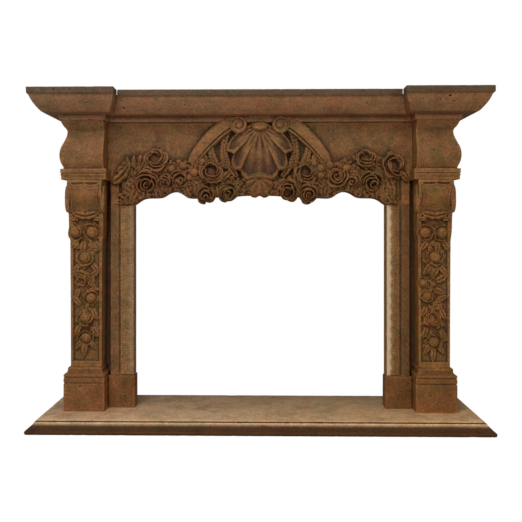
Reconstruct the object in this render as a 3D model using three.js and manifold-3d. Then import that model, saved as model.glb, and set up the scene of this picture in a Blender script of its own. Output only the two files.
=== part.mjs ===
// Carved stone fireplace mantel on its hearth slab.
// Millimetres, +Z up, the front faces -Y. The origin is the middle of the hearth slab's underside.

import * as THREE from "three";
import { mergeVertices } from "three/addons/utils/BufferGeometryUtils.js";
import Module from "manifold-3d";

const wasm = await Module();
wasm.setup();

// Joints between stones
const JOINT = 0.3;

// Hearth slab
const HEARTH_WIDTH = 1812;
const HEARTH_DEPTH = 475;
const HEARTH_THICKNESS = 50;
const NOSE_OUT = 36;
const NOSE_CREASE = 5;

// Legs: the shaft, frieze block and side cornice stand nearer the opening than the plinth's middle
const LEG_CENTRE = 714;
const UPPER_INSET = 4.6;
const PLINTH_WIDTH = 167;
const PLINTH_DEPTH = 302.5;
const PLINTH_HEIGHT = 176.7;
const PLINTH_CAP = 28;
const PLINTH_GROOVE = 4;
const SHAFT_FOOT_WIDTH = 126;
const SHAFT_HEAD_WIDTH = 133;
const CONSOLE_WIDTH = 141;
const SHAFT_DEPTH = 282;
const SHAFT_HEIGHT = 764;
const CONSOLE_OUT = 42;
const PANEL_SINK = 6;
const PANEL_RIM = 10;
const NECK_WIDTH = 152.4;
const NECK_DEPTH = 290.5;
const BLOCK_HEIGHT = 241.8;
const BELLY_OUT = 25.4;
const BAND_OUT = 25.8;
const BAND_HEIGHT = 45;
const CORNICE_HEIGHT = 116.3;
const CORNICE_OUT = 129.4;
const CORNICE_RETURN = 63;

// Centre: cornice between the legs, carved frieze panel, slips beside the fire opening
const CENTRE_SETBACK = 72;
const OPEN_JOINT_WIDTH = 22;
const OPEN_JOINT_HEIGHT = 20;
const PANEL_BACK = 165.5;
const SLIP_THICKNESS = 66;
const FRIEZE_THICKNESS = 58;
const OPENING_WIDTH = 1046;
const SLIP_HEIGHT = 707.7;
const SLIP_FLAT = 33;
const SLIP_GROOVE = 7;
const SLIP_BEAD = 8;
const RIB_STRIP = 48;
const RIB_PITCH = 16;
const RIB_OUT = 5;
const RIB_BED = 2;
const REBATE = 45;
const FOOT_BLOCK_WIDTH = 109;
const FOOT_BLOCK_HEIGHT = 133;
const FOOT_BLOCK_THICKNESS = 71;
const FOOT_BLOCK_REVEAL = 5;

// Carving: how far each ornament stands out of its ground
const BED_OUT = 14;
const ROSE_OUT = 42;
const SMALL_ROSE_OUT = 26;
const SHELL_OUT = 40;
const SCROLL_OUT = 34;
const LEAF_OUT = 20;
const BERRY_RADIUS = 16;
const BERRY_OUT = 26;
const ROOT = 12;
const PETALS = 5;

// Levels and planes worked out from the sizes above
const BACK_Y = HEARTH_DEPTH / 2;
const PLINTH_Z = HEARTH_THICKNESS + JOINT;
const SHAFT_Z = PLINTH_Z + PLINTH_HEIGHT + JOINT;
const BLOCK_Z = SHAFT_Z + SHAFT_HEIGHT + JOINT;
const CORNICE_Z = BLOCK_Z + BLOCK_HEIGHT + JOINT;
const FOOT_TOP_Z = PLINTH_Z + FOOT_BLOCK_HEIGHT;
const SLIP_Z = FOOT_TOP_Z + JOINT;
const FRIEZE_FOOT_Z = SLIP_Z + SLIP_HEIGHT + JOINT;
const FRIEZE_TOP_Z = CORNICE_Z - JOINT;
const PANEL_BACK_Y = BACK_Y - PANEL_BACK;
const SLIP_FRONT_Y = PANEL_BACK_Y - SLIP_THICKNESS;
const FIELD_Y = PANEL_BACK_Y - FRIEZE_THICKNESS;
const SHAFT_FRONT_Y = BACK_Y - SHAFT_DEPTH;
const OPENING_HALF = OPENING_WIDTH / 2;
const SLIP_WIDTH = SLIP_FLAT + SLIP_GROOVE + RIB_STRIP + SLIP_BEAD;
const RIB_BED_Y = SLIP_FRONT_Y + RIB_OUT + RIB_BED;
const INNER_NECK = LEG_CENTRE - UPPER_INSET - NECK_WIDTH / 2;

const radians = THREE.MathUtils.degToRad;

// Meshes and solids

function indexed(points, faces) {
  const geometry = new THREE.BufferGeometry();
  geometry.setAttribute("position", new THREE.Float32BufferAttribute(points.flat(), 3));
  geometry.setIndex(faces);
  return geometry;
}

function toSolid(geometry) {
  const bare = geometry.clone();
  bare.deleteAttribute("normal");
  bare.deleteAttribute("uv");
  const merged = mergeVertices(bare, 1e-3);
  return new wasm.Manifold(new wasm.Mesh({
    numProp: 3,
    vertProperties: new Float32Array(merged.attributes.position.array),
    triVerts: new Uint32Array(merged.index.array),
  }));
}

function toGeometry(solid) {
  const { numProp, vertProperties, triVerts } = solid.getMesh();
  const points = [];
  for (let i = 0; i < vertProperties.length; i += numProp) {
    points.push([vertProperties[i], vertProperties[i + 1], vertProperties[i + 2]]);
  }
  return indexed(points, Array.from(triVerts));
}

function joined(solids) {
  return solids.reduce((whole, solid) => whole.add(solid));
}

// A closed body through rings of equal count, each turning left about the way they climb
function loft(rings) {
  const count = rings[0].length;
  const points = rings.flat();
  const faces = [];
  for (let level = 0; level < rings.length - 1; level += 1) {
    for (let i = 0; i < count; i += 1) {
      const a = level * count + i;
      const b = level * count + ((i + 1) % count);
      faces.push(a, b, b + count, a, b + count, a + count);
    }
  }
  const middle = (ring) => [0, 1, 2].map((k) => ring.reduce((sum, p) => sum + p[k], 0) / count);
  const low = points.push(middle(rings[0])) - 1;
  const high = points.push(middle(rings[rings.length - 1])) - 1;
  const last = (rings.length - 1) * count;
  for (let i = 0; i < count; i += 1) {
    const next = (i + 1) % count;
    faces.push(low, next, i, high, last + i, last + next);
  }
  return indexed(points, faces);
}

function rectangle({ left, right, front, back }, z) {
  return [[left, front, z], [right, front, z], [right, back, z], [left, back, z]];
}

function shapeOf(points) {
  return new THREE.Shape(points.map(([a, b]) => new THREE.Vector2(a, b)));
}

// An outline drawn on the front (x to the right, z up), from one plane back to another
function frontExtrusion(points, frontY, backY) {
  const geometry = new THREE.ExtrudeGeometry(shapeOf(points), {
    depth: backY - frontY, bevelEnabled: false,
  });
  geometry.rotateX(Math.PI / 2);
  geometry.translate(0, backY, 0);
  return toSolid(geometry);
}

// A section drawn in plan (x, y), carried up
function planExtrusion(points, lowZ, highZ) {
  const geometry = new THREE.ExtrudeGeometry(shapeOf(points), { depth: highZ - lowZ, bevelEnabled: false });
  geometry.translate(0, 0, lowZ);
  return toSolid(geometry);
}

// A section drawn from the side (y, z), carried along x
function sideExtrusion(points, lowX, highX) {
  const geometry = new THREE.ExtrudeGeometry(shapeOf(points), { depth: highX - lowX, bevelEnabled: false });
  geometry.applyMatrix4(new THREE.Matrix4().makeBasis(
    new THREE.Vector3(0, 1, 0), new THREE.Vector3(0, 0, 1), new THREE.Vector3(1, 0, 0)));
  geometry.translate(lowX, 0, 0);
  return toSolid(geometry);
}

function box(lowX, highX, lowY, highY, lowZ, highZ) {
  const geometry = new THREE.BoxGeometry(highX - lowX, highY - lowY, highZ - lowZ);
  geometry.translate((lowX + highX) / 2, (lowY + highY) / 2, (lowZ + highZ) / 2);
  return toSolid(geometry);
}

// Mouldings

function curve(points, steps) {
  const line = new THREE.SplineCurve(points.map(([a, b]) => new THREE.Vector2(a, b)));
  return line.getPoints(steps).map((p) => [p.x, p.y]);
}

function bowed([a0, b0], [a1, b1], rise, steps) {
  const length = Math.hypot(a1 - a0, b1 - b0);
  return Array.from({ length: steps + 1 }, (_, i) => {
    const t = i / steps;
    const lift = rise * 4 * t * (1 - t) / length;
    return [a0 + (a1 - a0) * t - (b1 - b0) * lift, b0 + (b1 - b0) * t + (a1 - a0) * lift];
  });
}

// Cornice heights run from its bed, with how far each level stands out of the neck below
function corniceProfile() {
  const top = CORNICE_HEIGHT;
  const out = CORNICE_OUT;
  return [
    [0, out * 0.2],
    [top * 0.19, out * 0.22],
    [top * 0.2, out * 0.6],
    ...bowed([top * 0.22, out * 0.64], [top * 0.765, out * 0.955], 4, 6),
    [top * 0.79, out],
    [top, out],
  ];
}

function blockProfile() {
  const swell = BLOCK_HEIGHT - BAND_HEIGHT;
  const above = (share, out) => [BAND_HEIGHT + swell * share, out];
  return [
    [0, BAND_OUT * 0.74],
    [BAND_HEIGHT * 0.12, BAND_OUT * 0.94],
    [BAND_HEIGHT * 0.52, BAND_OUT * 0.96],
    [BAND_HEIGHT * 0.6, BAND_OUT * 0.78],
    [BAND_HEIGHT * 0.66, BAND_OUT],
    [BAND_HEIGHT, BAND_OUT],
    ...curve([above(0.015, BELLY_OUT * 0.42), above(0.14, BELLY_OUT * 0.85), above(0.28, BELLY_OUT),
      above(0.42, BELLY_OUT * 0.85), above(0.56, BELLY_OUT * 0.4), above(0.69, BELLY_OUT * 0.04),
      above(0.8, 0), above(0.88, BELLY_OUT * 0.45), above(1, BELLY_OUT * 0.9)], 18),
  ];
}

function plinthProfile() {
  const inset = (PLINTH_WIDTH - SHAFT_FOOT_WIDTH) / 2 - UPPER_INSET - 3;
  const groove = (z) => [[z - PLINTH_GROOVE, 0], [z, -PLINTH_GROOVE / 2], [z + PLINTH_GROOVE, 0]];
  const cap = PLINTH_HEIGHT - PLINTH_CAP;
  return [
    [0, 0],
    ...groove(PLINTH_HEIGHT * 0.65),
    ...groove(PLINTH_HEIGHT * 0.78),
    ...bowed([cap, 0], [PLINTH_HEIGHT - 4, -inset], -6, 5),
    [PLINTH_HEIGHT, -inset - 2],
  ];
}

// A block whose moulding returns along its front, outer and inner sides
function mouldedBlock({ width, depth, profile, side, grow = 0, inner = (out) => out }) {
  const rings = profile.map(([z, out], level) => {
    const outerX = side * (width / 2 + out + grow);
    const innerX = -side * (width / 2 + inner(out, z) + grow);
    const stretch = level === 0 ? -grow : grow;
    const ends = level === 0 || level === profile.length - 1;
    return rectangle({
      left: Math.min(outerX, innerX),
      right: Math.max(outerX, innerX),
      front: BACK_Y - depth - out - grow,
      back: BACK_Y,
    }, ends ? z + stretch : z);
  });
  return toSolid(loft(rings));
}

// Stones

function hearth() {
  const half = HEARTH_WIDTH / 2 - NOSE_OUT;
  const top = HEARTH_THICKNESS;
  const profile = [
    [0, NOSE_OUT * 0.8],
    [top * 0.08, NOSE_OUT * 0.92],
    ...bowed([top * 0.3, NOSE_OUT], [top - NOSE_CREASE / 2, NOSE_OUT * 0.12], -9, 6),
    [top - NOSE_CREASE, 0],
    [top, -NOSE_CREASE],
  ];
  return toSolid(loft(profile.map(([z, out]) => rectangle({
    left: -half - out, right: half + out, front: -BACK_Y + NOSE_OUT - out, back: BACK_Y,
  }, z))));
}

function plinth(side, grow = 0) {
  return mouldedBlock({
    width: PLINTH_WIDTH, depth: PLINTH_DEPTH, profile: plinthProfile(), side, grow,
  });
}

// How far the shaft's console swells forward at a height above the shaft's foot
const CONSOLE_FOOT = 0.67;
const consoleCurve = new THREE.SplineCurve([
  [CONSOLE_FOOT, 0], [0.77, 0.1], [0.855, 0.38], [0.92, 0.94], [0.958, 1], [1, 0.69],
].map(([share, out]) => new THREE.Vector2(share * SHAFT_HEIGHT, out * CONSOLE_OUT)));

function consoleOut(z) {
  const points = consoleCurve.getPoints(40);
  const next = points.findIndex((p) => p.x >= z);
  if (next <= 0) {
    return next === 0 ? 0 : points[points.length - 1].y;
  }
  const a = points[next - 1];
  const b = points[next];
  return a.y + (b.y - a.y) * (z - a.x) / (b.x - a.x);
}

// The shaft widens a little as it climbs, and more at the foot of its console
function shaftWidth(share) {
  const taper = SHAFT_FOOT_WIDTH + (SHAFT_HEAD_WIDTH - SHAFT_FOOT_WIDTH) * share;
  return share > CONSOLE_FOOT ? CONSOLE_WIDTH : taper;
}

function shaftBody(grow) {
  const levels = [0, CONSOLE_FOOT, 0.73, 0.78, 0.82, 0.855, 0.885, 0.92, 0.958, 0.98, 1];
  const edge = grow > 0 ? grow : 0;
  return toSolid(loft(levels.map((share, i) => {
    const z = share * SHAFT_HEIGHT;
    const half = shaftWidth(share) / 2 + edge;
    const end = (i === 0 ? -edge : 0) + (i === levels.length - 1 ? edge : 0);
    return rectangle({
      left: -half, right: half, front: SHAFT_FRONT_Y - consoleOut(z) - grow, back: BACK_Y,
    }, z + end);
  })));
}

// A ring of points around a middle, on a relief drawn with x right, y up and z out
function starRing(middle, reach, out, angles) {
  return angles.map((angle) => {
    const radius = typeof reach === "function" ? reach(angle) : reach;
    const height = typeof out === "function" ? out(angle) : out;
    return [middle[0] + radius * Math.sin(angle), middle[1] - radius * Math.cos(angle), height];
  });
}

function turnOf(count) {
  return Array.from({ length: count }, (_, i) => 2 * Math.PI * i / count);
}

// Puts a relief drawn with z out onto the plane y, facing the front
function onFront(geometry, y) {
  geometry.rotateX(Math.PI / 2);
  geometry.translate(0, y, 0);
  return toSolid(geometry);
}

// A full rose: a bud, an inner and an outer ring of petals, with a turn between them
function rose([x, z, radius, turn = 0], out, y) {
  const angles = turnOf(PETALS * 2).map((angle) => angle + turn);
  const wave = (angle, phase) => Math.cos(PETALS * (angle - turn) + phase);
  const ring = (share, height, swing, phase) => starRing(
    [x, z], (angle) => radius * (share + swing * wave(angle, phase)), out * height, angles);
  return onFront(loft([
    starRing([x, z], radius * 0.92, -ROOT, angles),
    ring(0.9, 0.68, 0.07, 0),
    ring(0.62, 0.42, 0.03, Math.PI),
    ring(0.38, 0.95, 0.05, Math.PI),
  ]), y);
}

// A body swept along points [x, z, half width], with a section of shares [across, out]
function sweep(path, section, out, y) {
  return onFront(loft(path.map(([x, z, half], i) => {
    const [x0, z0] = path[Math.max(i - 1, 0)];
    const [x1, z1] = path[Math.min(i + 1, path.length - 1)];
    const length = Math.hypot(x1 - x0, z1 - z0);
    const across = [-(z1 - z0) / length, (x1 - x0) / length];
    const fall = Math.min(1, 0.35 + 0.65 * Math.sin(Math.PI * (i + 0.5) / path.length));
    return section.map(([a, h]) => [
      x + across[0] * half * a, z + across[1] * half * a, h < 0 ? -ROOT : h * out * fall]);
  })), y);
}

const LEAF_SECTION = [[-1, -1], [1, -1], [0.9, 0.7], [0, 0.45], [-0.9, 0.95]];
const BAND_SECTION = [[-1, -1], [1, -1], [1, 0.55], [0.4, 1], [-0.5, 0.9], [-1, 0.45]];

// A leaf from its stem, of a length and a width, pointing at an angle from the right, with a bend
function leaf([x, z, length, width, angle, bend = 0], out, y) {
  const steps = 3;
  const path = Array.from({ length: steps + 1 }, (_, i) => {
    const t = i / steps;
    const heading = radians(angle + bend * t);
    const half = width / 2 * Math.sin(Math.PI * (0.16 + 0.8 * t)) + 0.8;
    return [x + length * t * Math.cos(heading), z + length * t * Math.sin(heading), half];
  });
  return sweep(path, LEAF_SECTION, out, y);
}

function pilaster(side, carving) {
  const foot = PANEL_SINK + 18;
  const panelTop = SHAFT_HEIGHT * 0.985;
  const half = SHAFT_FOOT_WIDTH / 2 - PANEL_RIM;
  const panel = [[-half, foot], [half, foot], [half, panelTop], [-half, panelTop]];
  const sunk = frontExtrusion(panel, SHAFT_FRONT_Y - CONSOLE_OUT * 2, BACK_Y)
    .subtract(shaftBody(-PANEL_SINK));
  const shieldTop = SHAFT_HEIGHT * 0.98;
  const shieldFoot = SHAFT_HEIGHT * 0.79;
  const shieldMiddle = (shieldTop + shieldFoot) / 2;
  const shield = curve([
    [0, shieldFoot], [half * 0.45, shieldFoot + 10], [half * 0.98, shieldFoot + 20],
    [half * 0.86, shieldMiddle], [half * 0.98, shieldTop - 20], [half * 0.6, shieldTop],
    [0, shieldTop - 9], [-half * 0.6, shieldTop],
    [-half * 0.98, shieldTop - 20], [-half * 0.86, shieldMiddle], [-half * 0.98, shieldFoot + 20],
    [-half * 0.45, shieldFoot + 10], [0, shieldFoot],
  ], 18).slice(0, -1);
  const raised = frontExtrusion(shield, SHAFT_FRONT_Y - CONSOLE_OUT * 2, SHAFT_FRONT_Y)
    .intersect(shaftBody(PANEL_SINK).translate([0, 0, -1]));
  const ground = (z) => SHAFT_FRONT_Y - consoleOut(z) + PANEL_SINK;
  const ears = [-1, 1].map((hand) => ear(hand));
  return joined([
    shaftBody(0).subtract(sunk),
    raised,
    ...ears,
    ...carving.roses.map((flower) => rose(flower, SMALL_ROSE_OUT, ground(flower[1]))),
    ...carving.leaves.map((blade) => leaf(blade, LEAF_OUT * 0.8, ground(blade[1]))),
  ]);
}

// The rolled side of the console
function ear(hand) {
  const high = SHAFT_HEIGHT * 0.885;
  const reach = SHAFT_HEIGHT * 0.066;
  const ring = (share, out) => turnOf(9).map((angle) => [
    hand * (CONSOLE_WIDTH / 2 + out),
    SHAFT_FRONT_Y - CONSOLE_OUT * 0.2 + hand * share * CONSOLE_OUT * 0.6 * Math.cos(angle),
    high + share * reach * Math.sin(angle),
  ]);
  return toSolid(loft([ring(1, -8), ring(1, 0), ring(0.7, 7)]));
}

function friezeBlock(side, grow = 0) {
  return mouldedBlock({
    width: NECK_WIDTH,
    depth: NECK_DEPTH,
    profile: blockProfile(),
    side,
    grow,
    inner: (out, z) => (z > BAND_HEIGHT ? 0 : out / 2),
  });
}

// The side cornices return less far on the inner side, where the centre cornice meets them
function corniceReturn(out) {
  const rest = corniceProfile()[0][1];
  const innerRest = rest * 0.3;
  return innerRest + (CORNICE_RETURN - innerRest) * (out - rest) / (CORNICE_OUT - rest);
}

// Behind its front return, the top of a side cornice is cut back and leaves an open joint
function sideCornice(side) {
  const body = mouldedBlock({
    width: NECK_WIDTH,
    depth: NECK_DEPTH,
    profile: corniceProfile(),
    side,
    inner: corniceReturn,
  });
  const innerSide = -side * NECK_WIDTH / 2;
  const ends = [innerSide + side * OPEN_JOINT_WIDTH, innerSide - side * CORNICE_OUT].sort((a, b) => a - b);
  const jointY = BACK_Y - NECK_DEPTH + CENTRE_SETBACK - CORNICE_OUT;
  return body.subtract(box(...ends, jointY, BACK_Y + ROOT, CORNICE_HEIGHT - OPEN_JOINT_HEIGHT,
    CORNICE_HEIGHT + ROOT));
}

// Carries the same moulding between the side cornices, set back
function centreCornice(grow = 0) {
  const neckY = BACK_Y - NECK_DEPTH + CENTRE_SETBACK;
  return toSolid(loft(corniceProfile().map(([z, out], level) => {
    const half = INNER_NECK - corniceReturn(out) - JOINT + grow;
    return rectangle({ left: -half, right: half, front: neckY - out - grow, back: BACK_Y },
      CORNICE_Z + z - (level === 0 ? grow : 0));
  })));
}

// Plan of the flat, groove, rib bed and inner bead of a slip, with its rebated tongue
function slipSection(side) {
  const outer = OPENING_HALF + SLIP_WIDTH;
  const flat = outer - SLIP_FLAT;
  const strip = flat - SLIP_GROOVE;
  const bead = strip - RIB_STRIP;
  const front = SLIP_FRONT_Y;
  const points = [
    [OPENING_HALF, front + RIB_BED], [bead, front + RIB_BED / 2], [bead, RIB_BED_Y],
    [flat, RIB_BED_Y], [flat, front], [outer, front], [outer, front + REBATE],
    [LEG_CENTRE, front + REBATE], [LEG_CENTRE, PANEL_BACK_Y], [OPENING_HALF, PANEL_BACK_Y],
  ].map(([x, y]) => [side * x, y]);
  return side > 0 ? points : points.reverse();
}

// Standing leg stones, grown by the joint, that the slips and the frieze panel are fitted to
function legClearance(side) {
  const upperX = -side * UPPER_INSET;
  return joined([
    plinth(side, JOINT).translate([0, 0, PLINTH_Z]),
    shaftBody(JOINT).translate([upperX, 0, SHAFT_Z]),
    friezeBlock(side, JOINT).translate([upperX, 0, BLOCK_Z]),
  ]).translate([side * LEG_CENTRE, 0, 0]);
}

function ribs(side, lowZ, highZ) {
  const count = Math.floor((highZ - lowZ) / RIB_PITCH);
  const rest = (highZ - lowZ - count * RIB_PITCH) / 2;
  const backY = RIB_BED_Y + ROOT;
  const points = [];
  for (let i = 0; i < count; i += 1) {
    const z = lowZ + rest + i * RIB_PITCH;
    points.push([RIB_BED_Y, z], [RIB_BED_Y - RIB_OUT, z + RIB_PITCH / 2]);
  }
  points.push([RIB_BED_Y, highZ - rest], [backY, highZ - rest], [backY, lowZ + rest]);
  const bead = OPENING_HALF + SLIP_BEAD;
  const ends = [side * bead, side * (bead + RIB_STRIP)].sort((a, b) => a - b);
  return sideExtrusion(points.reverse(), ends[0], ends[1]);
}

function slip(side) {
  const top = SLIP_Z + SLIP_HEIGHT;
  return planExtrusion(slipSection(side), SLIP_Z, top)
    .add(ribs(side, SLIP_Z, top))
    .subtract(legClearance(side));
}

function footBlock(side) {
  const inner = OPENING_HALF - FOOT_BLOCK_REVEAL;
  const ends = [side * inner, side * (inner + FOOT_BLOCK_WIDTH)].sort((a, b) => a - b);
  const reach = side * LEG_CENTRE;
  const tongue = box(Math.min(ends[0], reach), Math.max(ends[1], reach),
    SLIP_FRONT_Y + REBATE, PANEL_BACK_Y, PLINTH_Z, FOOT_TOP_Z);
  return box(ends[0], ends[1], PANEL_BACK_Y - FOOT_BLOCK_THICKNESS, PANEL_BACK_Y, PLINTH_Z, FOOT_TOP_Z)
    .add(tongue)
    .subtract(legClearance(side));
}

// Carving of the frieze: roses are [x, z, radius, turn], leaves [x, z, length, width, angle, bend]
const FRIEZE_ROSES = [
  [-545, 1046, 34, 0.4], [-431.6, 1075, 45, 0.1], [-468, 985, 46, 0.5], [-383, 990, 30, 0.9],
  [-333, 999, 36, 0.2], [-201, 1024, 46, 0.3], [-222, 938, 36, 0.6], [-130, 944, 38, 0],
  [121, 949, 39, 0.4], [187, 1022, 38, 0.1], [202, 938, 37, 0.8], [320.5, 1004, 40, 0.3],
  [392, 985, 28, 0.6], [440, 1075, 38, 0.5], [466, 987, 46, 0], [545, 1049, 44, 0.2],
];
const FRIEZE_BERRIES = [
  [-363, 1040], [-317, 1053], [-269, 1025], [-283, 965], [254, 1043], [289, 1053], [254, 1012],
  [358, 1040], [263, 958],
];
const FRIEZE_LEAVES = [
  [-520, 1010, 105, 34, 205, -18], [-515, 1050, 70, 26, 120, -25], [-395, 1100, 62, 24, 75, 20],
  [-500, 955, 50, 32, 250, 15], [-375, 975, 44, 28, 245, 20], [-285, 1000, 66, 30, 60, 40],
  [-305, 965, 50, 30, 300, -20], [-90, 1000, 66, 30, 120, 20], [90, 1000, 66, 30, 60, -20],
  [300, 970, 50, 30, 230, 20], [368, 985, 44, 28, 285, -20], [400, 1100, 62, 24, 105, -20],
  [525, 1000, 84, 36, 262, 14], [-410, 960, 40, 30, 280, 10], [415, 960, 40, 30, 260, -10],
];
const ACANTHUS = [
  [142, 1065, 108, 34, 80, 28], [176, 1058, 88, 30, 60, 25],
];

// The garland's lower edge, and the upper edge of the bed under it, from the middle to the right
const GARLAND_HALF_EDGE = [
  [0, 930], [60, 930], [110, 926], [160, 924], [230, 921], [292, 919], [322, 936], [350, 946],
  [378, 939], [412, 921], [480, 917],
];
const BED_HALF_EDGE = [
  [0, 1000], [90, 985], [200, 1040], [280, 1030], [380, 1030], [450, 1085], [560, 1040], [545, 985],
  [500, 940],
];

function friezeOutline() {
  const right = curve([...GARLAND_HALF_EDGE, [OPENING_HALF, FRIEZE_FOOT_Z]], 18);
  const left = right.slice(1).reverse().map(([x, z]) => [-x, z]);
  return [
    ...left, ...right, [OPENING_HALF, BLOCK_Z], [INNER_NECK, BLOCK_Z], [INNER_NECK, FRIEZE_TOP_Z],
    [-INNER_NECK, FRIEZE_TOP_Z], [-INNER_NECK, BLOCK_Z], [-OPENING_HALF, BLOCK_Z],
  ];
}

// The raised bed that flowers and leaves grow from
function garlandBed() {
  const right = [...curve(GARLAND_HALF_EDGE, 14), ...curve(BED_HALF_EDGE, 9).reverse()];
  const left = right.slice(1, -1).reverse().map(([x, z]) => [-x, z]);
  return frontExtrusion([...right, ...left], FIELD_Y - BED_OUT, FIELD_Y + ROOT);
}

// Right half of a leaf-like outline, by angle from straight down and share of its reach, made whole
function wholeEdge(half) {
  return [...half, ...half.slice(1, -1).reverse().map(([angle, share]) => [360 - angle, share])];
}

// Scallop shell, fanned downwards from its hinge
const SHELL_HINGE = [0, 1213];
const SHELL_REACH = 224;
const SHELL_EDGE = wholeEdge([
  [0, 0.93], [7, 0.955], [14, 1], [22, 0.9], [31, 0.893], [40, 0.732], [54, 0.741], [64, 0.571],
  [76, 0.393], [92, 0.196], [125, 0.134], [155, 0.107], [180, 0.098],
]);

function shell() {
  const ring = (share, height, ripple) => SHELL_EDGE.map(([angle, reach], i) => [
    SHELL_HINGE[0] + share * SHELL_REACH * reach * Math.sin(radians(angle)),
    SHELL_HINGE[1] - share * SHELL_REACH * reach * Math.cos(radians(angle)),
    height < 0 ? -ROOT : SHELL_OUT * (height + (i % 2 === 0 ? ripple : -ripple)),
  ]);
  return onFront(loft([
    ring(0.97, -1, 0), ring(1, 0.6, 0.06), ring(0.86, 0.9, 0.1), ring(0.58, 0.45, 0.07),
    ring(0.16, 0.6, 0),
  ]), FIELD_Y);
}

// The small fan of leaves that hangs under the shell
const FAN_TOP = [0, 1000];
const FAN_REACH = 84;
const FAN_EDGE = wholeEdge([
  [0, 0.857], [22, 1], [42, 0.833], [62, 0.738], [100, 0.524], [140, 0.31], [180, 0.262],
]);

function hangingFan() {
  const ring = (share, out) => FAN_EDGE.map(([angle, reach], i) => [
    FAN_TOP[0] + share * FAN_REACH * reach * Math.sin(radians(angle)),
    FAN_TOP[1] - share * FAN_REACH * reach * Math.cos(radians(angle)),
    out < 0 ? FIELD_Y - PANEL_BACK_Y + ROOT : SHELL_OUT * (out + (i % 2) * 0.12),
  ]);
  return onFront(loft([ring(0.95, -1), ring(1, 0.42), ring(0.75, 0.62), ring(0.3, 0.7)]), FIELD_Y);
}

// Right-hand scroll: its middle line with half widths, then the volute's centre and radius
const SCROLL_PATH = [
  [282, 1066, 18], [264, 1094, 25], [233, 1132, 29], [198, 1169, 32], [160, 1203, 33], [122, 1227, 31],
  [92, 1238, 23],
];
const VOLUTE = [86, 1227, 31];

function scroll(side) {
  const path = SCROLL_PATH.map(([x, z, half]) => [side * x, z, half]);
  const section = side > 0 ? BAND_SECTION.map(([a, h]) => [-a, h]).reverse() : BAND_SECTION;
  const spread = curve(path.map(([x, z]) => [x, z]), 9);
  const halves = curve(path.map(([, , half], i) => [i, half]), 9);
  const band = sweep(spread.map(([x, z], i) => [x, z, halves[i][1]]), section, SCROLL_OUT, FIELD_Y);
  const [x, z, radius] = VOLUTE;
  const ring = (share, out) => starRing([side * x, z], radius * share, out * SCROLL_OUT, turnOf(11));
  const eye = onFront(loft([
    starRing([side * x, z], radius, -ROOT, turnOf(11)), ring(1, 0.95), ring(0.84, 1.15), ring(0.56, 0.8),
    ring(0.36, 1.15),
  ]), FIELD_Y);
  return band.add(eye);
}

function berry(centre) {
  const ring = (share, out) => starRing(centre, BERRY_RADIUS * share, out, turnOf(6));
  return onFront(loft([ring(1, -ROOT), ring(1, BED_OUT), ring(0.6, BERRY_OUT)]), FIELD_Y);
}

// Flowers at the lower edge are carved through the panel's thickness
function edgeRose(flower) {
  const [x, z, radius] = flower;
  const disc = starRing([x, z], radius * 0.93, 0, turnOf(10));
  return frontExtrusion(disc, FIELD_Y - BED_OUT, PANEL_BACK_Y);
}

function friezePanel() {
  const ground = FIELD_Y - BED_OUT * 0.6;
  const corner = (side) => planExtrusion(slipSection(side), FRIEZE_FOOT_Z, BLOCK_Z - JOINT);
  const mirrored = (blade) => [-blade[0], blade[1], blade[2], blade[3], 180 - blade[4], -blade[5]];
  let panel = joined([
    frontExtrusion(friezeOutline(), FIELD_Y, PANEL_BACK_Y),
    corner(-1),
    corner(1),
    garlandBed(),
    shell(),
    hangingFan(),
    scroll(-1),
    scroll(1),
    ...FRIEZE_LEAVES.map((blade) => leaf(blade, LEAF_OUT, ground)),
    ...ACANTHUS.map((blade) => leaf(blade, LEAF_OUT, FIELD_Y)),
    ...ACANTHUS.map((blade) => leaf(mirrored(blade), LEAF_OUT, FIELD_Y)),
    ...FRIEZE_ROSES.filter(([, z]) => z < 960).map(edgeRose),
    ...FRIEZE_ROSES.map((flower) => rose(flower, ROSE_OUT - BED_OUT * 0.5, ground)),
    ...FRIEZE_BERRIES.map(berry),
  ]);
  panel = panel.subtract(centreCornice(JOINT));
  return panel.subtract(legClearance(-1)).subtract(legClearance(1));
}

// Carving of the shafts, from each shaft's own centre line and foot
const SHAFT_CARVING = {
  left: {
    roses: [[-40, 553, 33, 0.2], [28, 553, 33, 0.6], [-4, 447, 31, 0.1], [-12, 364, 30, 0.5],
      [20, 283, 29, 0.8], [-4, 199, 29, 0.3], [0, 122, 29, 0]],
    leaves: [[-8, 505, 46, 24, 255, 20], [12, 330, 44, 22, 60, 20], [-24, 250, 46, 22, 120, 20],
      [26, 160, 44, 22, 300, 0], [-4, 98, 42, 24, 262, 10]],
  },
  right: {
    roses: [[-38, 551, 33, 0.4], [27, 551, 33, 0], [2, 447, 32, 0.6], [-42, 346, 24, 0.3],
      [-30, 289, 27, 0.2], [-8, 199, 31, 0.5], [-4, 107, 31, 0.1]],
    leaves: [[10, 500, 46, 24, 280, -20], [6, 350, 52, 26, 20, 30], [-2, 322, 46, 24, 330, 20],
      [24, 150, 44, 22, 300, 0], [-4, 84, 50, 22, 268, 0]],
  },
};

const STONE = { roughness: 0.72, metalness: 0 };
const BROWN = 0x765437;
const PALE = 0x7d6a52;
const DARK = 0x6d4b31;

function piece(name, solid, colour, position = [0, 0, 0]) {
  const stone = new THREE.MeshStandardMaterial({ color: colour, ...STONE });
  const mesh = new THREE.Mesh(toGeometry(solid), stone);
  mesh.name = name;
  mesh.position.set(...position);
  return mesh;
}

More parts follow.
